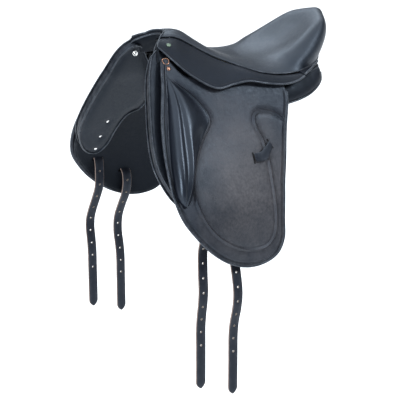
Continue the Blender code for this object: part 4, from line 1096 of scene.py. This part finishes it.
def girth_strap(spec):
    """Strap with punched holes, raw cut edges and a pointed tip."""
    line, run = strap_line(spec)
    total = run[-1]
    w = STRAP_W / 2
    around = np.gradient(line[:, 1:], axis=0)
    face_n = np.stack([np.zeros(len(line)), -around[:, 1], around[:, 0]], -1)
    face_n /= np.linalg.norm(face_n, axis=1, keepdims=True)

    def place(flat, off):
        p = np.stack([np.interp(flat[:, 0], run, line[:, k]) for k in range(3)], -1)
        n = np.stack([np.interp(flat[:, 0], run, face_n[:, k]) for k in range(3)], -1)
        p[:, 0] += flat[:, 1]
        return p + n * (np.reshape(np.asarray(off), (-1, 1)) + STRAP_T / 2)

    centres = [total - HOLE_FIRST - HOLE_PITCH * k for k in range(HOLE_COUNT)]
    tip = total - 0.018
    us = np.linspace(0.0, tip, int(tip / 0.006))
    point = [(total - 0.0140, 0.96), (total - 0.0095, 0.82), (total - 0.0050, 0.56), (total - 0.0014, 0.22)]
    loop = [(u, -w) for u in us] + [(u, -w * f) for u, f in point] + [(total, 0.0)]
    loop += [(u, w * f) for u, f in point[::-1]] + [(u, w) for u in us[::-1]]
    loop = np.array(loop)
    holes = [ring(c, 0.0, HOLE_R, 14) for c in centres]
    rim = [(0.0007, -0.0003), (0.0010, -0.0010), (0.0010, -0.0030), (0.0007, -0.0037)]

    def relief(flat):
        edge = w - np.abs(flat[:, 1])
        crease = -0.00035 * bump(edge - 0.0030, 0.0009)
        for c in centres:
            r = np.hypot(flat[:, 0] - c, flat[:, 1])
            crease -= 0.00045 * bump(r - HOLE_R, 0.0012)
        return crease

    guide = []
    for side in (-1, 1):
        for inset in (0.0021, 0.0030, 0.0039):
            guide += [(u, side * (w - inset)) for u in np.arange(0.008, tip, 0.0060)]
    body = cut(loop, 0.0050, place, STRAP_T, rim=rim, holes=holes, guides=guide, relief=relief, rim_mat=1,
               hole_mat=2)
    rims = Piece()
    for c in centres:
        for off in (-0.0001, -STRAP_T + 0.0001):
            circle = ring(c, 0.0, HOLE_R + 0.0001, 14)
            rims.join(tube(place(circle, off), 0.00032, (0.0, 1.0, 0.0), sides=6, closed=True))
    return body, rims


for which, spec in (("front", STRAP_FRONT), ("rear", STRAP_REAR)):
    strap_body, strap_rims = girth_strap(spec)
    top_z, top_y = spec["path"][0]
    for side, sign in SIDES:
        work = strap_body if sign > 0 else strap_body.mirrored()
        obj = work.finish("girth_strap_%s_%s" % (which, side), STRAP, RAW, HOLE, sharp=40)
        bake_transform(obj)
        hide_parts("girth_strap_%s_%s" % (which, side), "strap_root_%s_%s" % (which, side))
        work = strap_rims if sign > 0 else strap_rims.mirrored()
        obj = work.finish("strap_holes_%s_%s" % (which, side), HOLE)
        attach(obj, "%s_strap_%s_body" % (which, side))


# ---------------------------------------------------------------- seat
SEAT_ROWS = [[Vector(p) for p in row] for row in SEAT_STATIONS]
SKIRT_ROWS = [[Vector(p) for p in row] for row in SKIRT_STATIONS]
FAN = 8                                # stations from this one turn about the same centre point
SEAT_LEATHER = 0.0022
LAST = 10.999                          # past this the seat's last station counts as the centre line


def seat_point(s, t):
    """Seat top: s counts stations from the pommel, t runs 0 to 5 from the centre to the welt."""
    cross = [along([row[k] for row in SEAT_ROWS], s) for k in range(6)]
    if s >= FAN:
        cross[0] = SEAT_ROWS[FAN][0]
    return along(cross, t)


def skirt_point(s, t):
    """Skirt outer face: s counts stations, t runs 0 to 2 from the seam to the free edge."""
    cross = [along([row[k] for row in SKIRT_ROWS], s) for k in range(3)]
    return along(cross, t)


def skirt_in(s, t):
    """Direction from the skirt's face towards the tree."""
    e = 0.05
    a = skirt_point(min(s + e, 10), t) - skirt_point(max(s - e, 0), t)
    b = skirt_point(s, min(t + e, 2)) - skirt_point(s, max(t - e, 0))
    n = a.cross(b).normalized()
    return -n if n.y > 0 else n


def soften(bm, verts, passes):
    for _ in range(passes):
        bmesh.ops.smooth_vert(bm, verts=verts, factor=0.5, use_axis_x=True, use_axis_y=True, use_axis_z=True)


def seat_cover():
    """Stuffed seat: one sheet over both halves of the dish, thickened downwards."""
    stations = np.linspace(0, 11, 111)
    across = np.linspace(0, 5, 41)
    points, faces, index = [], [], {}

    def add(p):
        key = (round(p[0], 5), round(p[1], 5), round(p[2], 5))
        if key not in index:
            index[key] = len(points)
            points.append(p)
        return index[key]

    for sign in (1.0, -1.0):
        ids = []
        for s in stations:
            row = []
            for t in across:
                p = seat_point(s, t)
                y = 0.0 if (t == 0 or s > LAST) else p.y
                row.append(add((p.x, sign * y, p.z)))
            ids.append(row)
        for i in range(len(ids) - 1):
            for j in range(len(across) - 1):
                f = []
                for q in (ids[i][j], ids[i][j + 1], ids[i + 1][j + 1], ids[i + 1][j]):
                    if q not in f:
                        f.append(q)
                if len(f) > 2:
                    faces.append(f if sign > 0 else f[::-1])
    bm = bmesh.new()
    for p in points:
        bm.verts.new(p)
    bm.verts.ensure_lookup_table()
    for f in faces:
        bm.faces.new([bm.verts[i] for i in f])
    bmesh.ops.recalc_face_normals(bm, faces=bm.faces[:])
    if sum(f.normal.z * f.calc_area() for f in bm.faces) < 0:
        bmesh.ops.reverse_faces(bm, faces=bm.faces[:])
    edge = {v for e in bm.edges if len(e.link_faces) == 1 for v in e.verts}
    free = [v for v in bm.verts if v not in edge]
    soften(bm, free, 16)
    fan_reach = 0.085
    soften(bm, [v for v in free if (v.co - SEAT_ROWS[FAN][0]).length < fan_reach], 70)
    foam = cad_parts["seat_foam"]
    filling = BVHTree.FromPolygons([foam.matrix_world @ v.co for v in foam.data.vertices],
                                   [tuple(p.vertices) for p in foam.data.polygons])
    near_by = {v: [e.other_vert(v) for e in v.link_edges] for v in free}
    search, slant, clearance, most = 0.008, 0.0010, 0.0027, 0.006
    for _ in range(3):                     # lift the leather off the foam where it comes too close
        bm.normal_update()
        lift = {}
        for v in free:
            near, normal = filling.find_nearest(v.co, search)[:2]
            lift[v] = 0.0
            if near is not None:
                height = (v.co - near).dot(normal)
                if (v.co - near - normal * height).length < slant:
                    lift[v] = min(max(0.0, clearance - height), most)
        for _ in range(2):
            lift = {v: max([lift[v]] + [lift.get(o, 0.0) for o in near_by[v]]) for v in free}
        for _ in range(5):
            total = {v: sum(lift.get(o, 0.0) for o in near_by[v]) for v in free}
            lift = {v: 0.4 * lift[v] + 0.6 * total[v] / len(near_by[v]) for v in free}
        for v in free:
            v.co += v.normal * lift[v]
    bm.normal_update()
    bm.verts.index_update()
    top = np.array([v.co[:] for v in bm.verts])
    low = top - np.array([v.normal[:] for v in bm.verts]) * SEAT_LEATHER
    n = len(top)
    quads = [[v.index for v in f.verts] for f in bm.faces]
    out = quads + [[i + n for i in f[::-1]] for f in quads]
    for e in bm.edges:
        if len(e.link_faces) == 1:
            a, b = e.verts[0].index, e.verts[1].index
            out.append([a, b, b + n, a + n])
    bm.free()
    return Piece().add(np.vstack([top, low]), out, 0, 0.0)


seat = seat_cover().finish("seat", SEAT, sharp=70)
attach(seat, "saddle")
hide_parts("seat_cover")


def seat_edge():
    """Lower edge of the seat, from the pommel round the cantle and back."""
    left = np.array([seat_point(s, 5.0)[:] for s in np.linspace(0.0, 11, 221)])
    left[-1, 1] = 0.0
    return spaced(np.vstack([left, left[::-1][1:] * MIRROR]), 0.0035)


def single(name, piece, materials, nodes=(), sharp=50):
    obj = piece.finish(name, *materials, sharp=sharp)
    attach(obj, "saddle")
    if nodes:
        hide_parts(*nodes)


single("seat_welt", tube(seat_edge(), 0.0021, (0.2, 0.0, 1.0)), [CORD])


# ---------------------------------------------------------------- skirts
def belly(t):
    """How full the skirt is between its seam and its free edge."""
    return 0.0022 * math.sin(math.pi * t / 2) ** 1.5


def skirt():
    """Skirt with a full belly, from the pommel to the cantle."""
    stations, across = np.linspace(0, 10, 121), np.linspace(0, 2, 23)
    inward = np.array([[skirt_in(s, t)[:] for t in across] for s in stations])
    grid = np.array([[(skirt_point(s, t) - skirt_in(s, t) * belly(t))[:] for t in across] for s in stations])
    for _ in range(3):
        mid = (grid[:-2, 1:-1] + grid[2:, 1:-1] + grid[1:-1, :-2] + grid[1:-1, 2:]) / 4
        grid[1:-1, 1:-1] = mid * 0.5 + grid[1:-1, 1:-1] * 0.5
    return skin(grid, LEATHER, inward)


pair("skirt", skirt(), [SKIRT], bend="skirt", nodes=("skirt_band", "skirt_lobe"), sharp=60)


def skirt_edge():
    """Free edge of the skirt, sunk a little into its face, and the direction out of the face."""
    pts, ups = [], []
    for s in np.linspace(0, 10, 181):
        n = -skirt_in(s, 1.96)
        pts.append((skirt_point(s, 2.0) + n * -0.0012)[:])
        ups.append(n[:])
    return np.array(pts), np.array(ups)


edge_p, edge_n = skirt_edge()
pair("skirt_edge", tube(edge_p, 0.0024, edge_n, sides=12), [CORD], bend="skirt")


def skirt_seam(shift):
    """Line on the skirt a fixed distance in from its free edge."""
    pts, ups = [], []
    for s in np.linspace(0.15, 9.9, 120):
        t, gap = 2.0, 0.0
        p = skirt_point(s, 2.0)
        while gap < shift and t > 0.3:
            t -= 0.02
            q = skirt_point(s, t)
            gap += (q - p).length
            p = q
        n = -skirt_in(s, t)
        pts.append((p + n * (belly(t) + 0.0001))[:])
        ups.append(n[:])
    return np.array(pts), np.array(ups)


line_p, line_n = skirt_seam(0.0075)
pair("skirt_stitching", stitches(line_p, line_n), [THREAD], bend="skirt")

# ---------------------------------------------------------------- pommel: cords, facing, stitching
cord_rows = [seat_point(0.0, t) for t in np.linspace(0, 5, 18)]
cord_rows[0].y = 0.0
cord_rows += [skirt_point(0.0, t) for t in np.linspace(0.15, 2, 14)]
half = np.array([p[:] for p in cord_rows])
front_cord = spaced(np.vstack([half[::-1], half[1:] * MIRROR]), 0.0035)
pommel_cord = tube(front_cord + np.array([0.0012, 0, -0.0004]), 0.0023, (0.3, 0, 1), sides=12)
single("pommel_cord", pommel_cord, [CORD])
half = np.vstack([[(0.2720, 0.0770, 0.0700), (0.2680, 0.0690, 0.0820)], dense(FACING_FRONT, 8)])
half = spaced(half, 0.0030)
arch = np.vstack([half, half[::-1][1:] * MIRROR])
arch_cord = tube(arch + np.array([0.0010, 0, 0]), 0.0021, (1, 0, 0.2), sides=12)
single("arch_cord", arch_cord, [CORD])


def resample(points, count):
    p = np.asarray(points, float)
    run = np.concatenate([[0.0], np.cumsum(np.linalg.norm(np.diff(p, axis=0), axis=1))])
    at = np.linspace(0, run[-1], count)
    return np.stack([np.interp(at, run, p[:, k]) for k in range(3)], -1)


def facing_row(k):
    """Line across the facing, from the seat's cord (0) to the arch's cord (1), slightly full between."""
    puff = 0.0016 * math.sin(math.pi * k)
    return facing_outer * (1 - k) + facing_inner * k + np.array([puff, 0, puff * 0.4])


def facing():
    """Leather facing from the seat's front cord, round the arch's edge and back into the gullet."""
    rows = [facing_row(k) for k in (0.0, 0.2, 0.4, 0.6, 0.8, 1.0)]
    back_x, deepest = 0.150, 0.064
    end = facing_inner * np.array([0.0, 0.60, 0.0]) + np.array([back_x, 0.0, 0.0700])
    turn = [(0.06, 0.0015), (0.13, 0.004), (0.21, 0.008), (0.30, 0.013), (0.42, 0.022), (0.56, 0.0262),
            (0.64, 0.034), (0.76, 0.046), (0.90, 0.056), (1.00, deepest)]
    for w, depth in turn:
        row = facing_inner * (1 - w) + end * w
        share = depth / deepest
        row[:, 0] = facing_inner[:, 0] * (1 - share) + back_x * share
        rows.append(row)
    grid = np.array(rows).transpose(1, 0, 2)
    n = np.cross(np.gradient(grid, axis=0), np.gradient(grid, axis=1))
    n /= np.maximum(np.linalg.norm(n, axis=2, keepdims=True), 1e-9)
    sign = -1.0 if n[grid.shape[0] // 2, 2, 0] > 0 else 1.0
    return skin(grid, 0.0020, n * sign)


half_outer = np.vstack([[p[:] for p in cord_rows], [(0.2590, 0.0760, 0.0980), (0.2635, 0.0865, 0.0840)]])
facing_outer = resample(np.vstack([half_outer[::-1], half_outer[1:] * MIRROR]), 61)
facing_inner = resample(arch, 61)
single("pommel_facing_leather", facing(), [LINING], nodes=("pommel_facing",), sharp=70)
for number, k in enumerate((0.22, 0.78)):
    line = spaced(facing_row(k) + np.array([0.0004, 0, 0.0002]), 0.004)
    thread = stitches(line, np.tile((0.86, 0.0, 0.5), (len(line), 1)))
    single("facing_stitching_%d" % (number + 1), thread, [THREAD])


# ---------------------------------------------------------------- rear panels
PANEL_ROWS = [
    [(-0.181, 0.058, 0.018), (-0.182, 0.086, 0.020), (-0.187, 0.094, 0.003), (-0.185, 0.058, -0.002)],
    [(-0.166, 0.046, 0.019), (-0.167, 0.108, 0.019), (-0.171, 0.118, -0.017), (-0.169, 0.048, -0.022)],
    [(-0.132, 0.041, 0.012), (-0.132, 0.120, 0.014), (-0.134, 0.140, -0.033), (-0.132, 0.042, -0.037)],
    [(-0.090, 0.039, 0.004), (-0.090, 0.132, 0.008), (-0.090, 0.151, -0.043), (-0.090, 0.040, -0.046)],
    [(-0.040, 0.038, -0.004), (-0.040, 0.136, 0.001), (-0.040, 0.152, -0.050), (-0.040, 0.040, -0.048)],
    [(0.010, 0.038, -0.004), (0.010, 0.136, 0.002), (0.010, 0.152, -0.060), (0.010, 0.044, -0.052)],
    [(0.060, 0.040, 0.004), (0.060, 0.128, 0.006), (0.060, 0.158, -0.078), (0.060, 0.056, -0.054)],
    [(0.110, 0.046, 0.024), (0.110, 0.116, 0.014), (0.110, 0.160, -0.090), (0.110, 0.078, -0.056)],
    [(0.158, 0.054, 0.040), (0.158, 0.104, 0.026), (0.158, 0.150, -0.076), (0.158, 0.092, -0.040)],
]


def panel_corners(u):
    corners = [along([Vector(r[c]) for r in PANEL_ROWS], u) for c in range(4)]
    return corners, sum(corners, Vector()) / 4


def panel_ring(u):
    """Section of the panel: four soft corners with full sides between them."""
    corners, middle = panel_corners(u)
    out = []
    for c in range(4):
        a, b = corners[c], corners[(c + 1) % 4]
        bulge = (a + b) / 2 - middle
        for f in (0.08, 0.2, 0.35, 0.5, 0.65, 0.8, 0.92):
            out.append(a.lerp(b, f) + bulge * (0.12 * math.sin(math.pi * f)))
    return out


def rear_panel():
    """Stuffed rear panel with a rounded rear end and gathers beside its upper welt."""
    rings = []
    places = np.linspace(0, len(PANEL_ROWS) - 1, 90)
    for u in places:
        sec = panel_ring(u)
        n = len(sec)
        soft = [sec[i] * 0.5 + (sec[i - 1] + sec[(i + 1) % n]) * 0.25 for i in range(n)]
        middle = sum(soft, Vector()) / n
        end = 1.0
        if u < 0.5:
            end = 0.55 + 0.45 * math.sqrt(max(0.0, 1 - (1 - u / 0.5) ** 2))
        rings.append([middle + (p - middle) * end for p in soft])
    pts = np.array([[p[:] for p in r] for r in rings])
    n = pts.shape[1]
    gather = places[:, None]
    beside = bump(np.arange(n)[None, :] - 8.0, 2.2)
    ripple = np.sin(gather * 58.0 + np.sin(gather * 23.0) * 1.3) * beside
    pts[:, :, 1] -= 0.0007 * ripple * bump(gather, 2.6)
    faces = []
    h = pts.shape[0]
    for i in range(h - 1):
        for k in range(n):
            q = (k + 1) % n
            faces.append([i * n + k, i * n + q, (i + 1) * n + q, (i + 1) * n + k])
    caps = np.array([pts[0].mean(0), pts[-1].mean(0)])
    for k in range(n):
        q = (k + 1) % n
        faces.append([q, k, h * n])
        faces.append([(h - 1) * n + k, (h - 1) * n + q, h * n + 1])
    return Piece().add(np.vstack([pts.reshape(-1, 3), caps]), faces, 0, 0.0)


pair("panel", rear_panel(), [PANEL], body="saddle", nodes=("panel",), sharp=75)


def panel_line(c, shift, last):
    """Line along one corner of the panel, moved towards its middle by a share of the way."""
    rows = []
    for u in np.linspace(0.15, last, 120):
        corners, middle = panel_corners(u)
        rows.append((corners[c] + (middle - corners[c]) * shift)[:])
    return spaced(np.array(rows), 0.004)


for name, corner, shift, last, radius, up in (("lower", 2, 0.055, 7.9, 0.0024, (0, 1, -0.2)),
                                              ("upper", 1, 0.075, 6.0, 0.0022, (0, 1, 0.4)),
                                              ("inner", 3, 0.060, 7.9, 0.0020, (0, -1, -0.4))):
    welt = tube(panel_line(corner, shift, last), radius, up)
    pair("panel_welt_" + name, welt, [CORD], body="saddle")

# ---------------------------------------------------------------- fittings
nail_p = skirt_point(0.70, 1.05)
nail_n = -skirt_in(0.70, 1.05)
# nail, washer and screw heads: height along the axis, radius
dome = [(0.0, 0.0058), (0.0006, 0.0060), (0.0012, 0.0058), (0.0020, 0.0050), (0.0026, 0.0036),
        (0.0029, 0.0018), (0.0030, 0.0004)]
pair("saddle_nail", turned(nail_p + nail_n * 0.0016, nail_n, dome), [BRASS], body="saddle",
     nodes=("saddle_nail",))
flap_nail_p = on_flap([(0.2490, 0.0690)], -0.0006)[0]
flap_nail_n = flap_normal(np.array([0.2490]), np.array([0.0690]))[0]
small = [(d * 0.95, r * 0.90) for d, r in dome]
pair("flap_nail", turned(flap_nail_p, flap_nail_n, small), [COPPER], body="saddle",
     nodes=("flap_nail",))


def dee_ring():
    """Wire dee: straight under its staple, round below."""
    centre = Vector((0.2500, 0.0905, 0.0860))
    out = Vector((0.10, 0.73, 0.67)).normalized()
    down = Vector((0.0, 0.67, -0.74))
    down = (down - out * down.dot(out)).normalized()
    side = out.cross(down).normalized()
    line = []
    count = 64
    for k in range(count):
        a = 2 * math.pi * k / count
        c, d = math.cos(a), math.sin(a)
        wide = math.copysign(abs(c) ** 0.75, c) * 0.0078
        drop = d * 0.0108 if d > 0 else -abs(d) ** 0.8 * 0.0044
        line.append((centre + side * wide + down * drop)[:])
    return tube(spaced(np.array(line), 0.0010, closed=True), 0.00135, out[:], sides=10, closed=True)


pair("dee", dee_ring(), [COPPER], body="dee_%s_body", nodes=("dee",))
washer = [(0.0, 0.0048), (0.0008, 0.0064), (0.0016, 0.0070), (0.0024, 0.0068), (0.0030, 0.0058),
          (0.0028, 0.0044), (0.0018, 0.0034), (0.0020, 0.0030), (0.0027, 0.0024), (0.0029, 0.0010)]
head = [(-0.0120, 0.0022), (-0.0016, 0.0022), (-0.0014, 0.0046), (-0.0002, 0.0048), (0.0006, 0.0044),
        (0.0004, 0.0032), (0.0012, 0.0026), (0.0016, 0.0010)]
button = turned((0.2500, 0.0560, 0.0720), Vector((0.35, -0.92, -0.10)).normalized(), washer)
pair("panel_button", button, [BRIGHT], body="saddle", nodes=("panel_button",))
for number, (sx, sz) in enumerate(KNEE_SCREWS):
    spot = np.array([(sx, sz)])
    base = lobe_place(spot, float(-LOBE_T - lobe_crown(spot)[0]))[0]
    n = -flap_normal(spot[:, 0], spot[:, 1])[0]
    pair("knee_screw_%d" % (number + 1), turned(base, n, head, 24), [BRIGHT],
         body="flap_%s_body", nodes=("knee_screw_%d" % (number + 1),))

# CAD pieces that keep their own shape
CAD_MATERIALS = {"seat_foam": FOAM, "seat_webbing": WEBBING, "tree_frame": WOOD, "head_plate": STEEL_PAINTED_SHADE,
                 "gullet_lining": LINING, "stirrup_bar": STEEL_PAINTED_SHADE, "bar_catch": STEEL_PAINTED_SHADE, "dee_staple": SKIRT}
for node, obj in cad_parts.items():
    stem = node[:-2] if node[-2:] in ("_L", "_R") else node
    if stem in CAD_MATERIALS:
        obj.data.materials.clear()
        obj.data.materials.append(CAD_MATERIALS[stem])

# ---------------------------------------------------------------- stage, light and camera
FLOOR_Z = -1.25


def stage_floor():
    mesh = bpy.data.meshes.new("floor")
    size = 90.0
    corners = ((-size, -size), (size, -size), (size, size), (-size, size))
    mesh.from_pydata([(x, y, FLOOR_Z) for x, y in corners], [], [(0, 1, 2, 3)])
    obj = bpy.data.objects.new("floor", mesh)
    bpy.context.scene.collection.objects.link(obj)
    m = Nodes("floor_paper")
    tone = m.noise(1.5, 2.0, 0.5)
    m.set(Base_Color=m.ramp(tone, [(0.3, (0.90, 0.90, 0.90)), (0.7, (0.93, 0.93, 0.93))]), Roughness=0.9)
    mesh.materials.append(m.mat)


def soft_light(name, place, aim, size, power, colour):
    lamp = bpy.data.lights.new(name, "AREA")
    lamp.shape = "RECTANGLE"
    lamp.size, lamp.size_y = size
    lamp.energy = power
    lamp.color = colour
    obj = bpy.data.objects.new(name, lamp)
    obj.location = place
    obj.rotation_euler = (Vector(aim) - Vector(place)).to_track_quat("-Z", "Y").to_euler()
    bpy.context.scene.collection.objects.link(obj)


def soft_sun(name, direction, irradiance, spread, colour):
    lamp = bpy.data.lights.new(name, "SUN")
    lamp.energy = irradiance
    lamp.angle = math.radians(spread)
    lamp.color = colour
    obj = bpy.data.objects.new(name, lamp)
    obj.rotation_euler = Vector(direction).to_track_quat("Z", "Y").to_euler()
    bpy.context.scene.collection.objects.link(obj)


stage_floor()
world = bpy.data.worlds.new("studio")
world.use_nodes = True
world.node_tree.nodes["Background"].inputs[0].default_value = (0.88, 0.94, 1.0, 1.0)
world.node_tree.nodes["Background"].inputs[1].default_value = 0.30
bpy.context.scene.world = world
soft_sun("ceiling", (0.05, -0.10, 1.0), 3.0, 104.0, (0.94, 0.97, 1.0))
soft_light("behind", (-0.78, -2.5, 2.3), (-0.1, 0.0, 0.05), (1.5, 1.2), 19.0, (0.80, 0.90, 1.0))
soft_light("flank", (-1.52, 2.2, 1.9), (0.05, 0.20, -0.05), (0.9, 0.8), 46.0, (0.92, 0.96, 1.0))
soft_light("front", (2.9, 1.3, 0.7), (0.25, 0.2, -0.1), (0.7, 1.6), 56.0, (0.90, 0.95, 1.0))
bpy.context.scene.view_settings.view_transform = "Standard"
bpy.context.scene.view_settings.look = "Medium High Contrast"

camera = bpy.data.cameras.new("camera")
camera.sensor_width = 36.0
camera.lens = 132.3
back = Vector((0.4797, 0.8096, 0.3384)).normalized()
target = Vector((0.1034, 0.0, -0.3110))
distance = 3.667
eye = bpy.data.objects.new("camera", camera)
eye.location = target + back * distance
eye.rotation_euler = (-back).to_track_quat("-Z", "Y").to_euler()
bpy.context.scene.collection.objects.link(eye)
bpy.context.scene.camera = eye
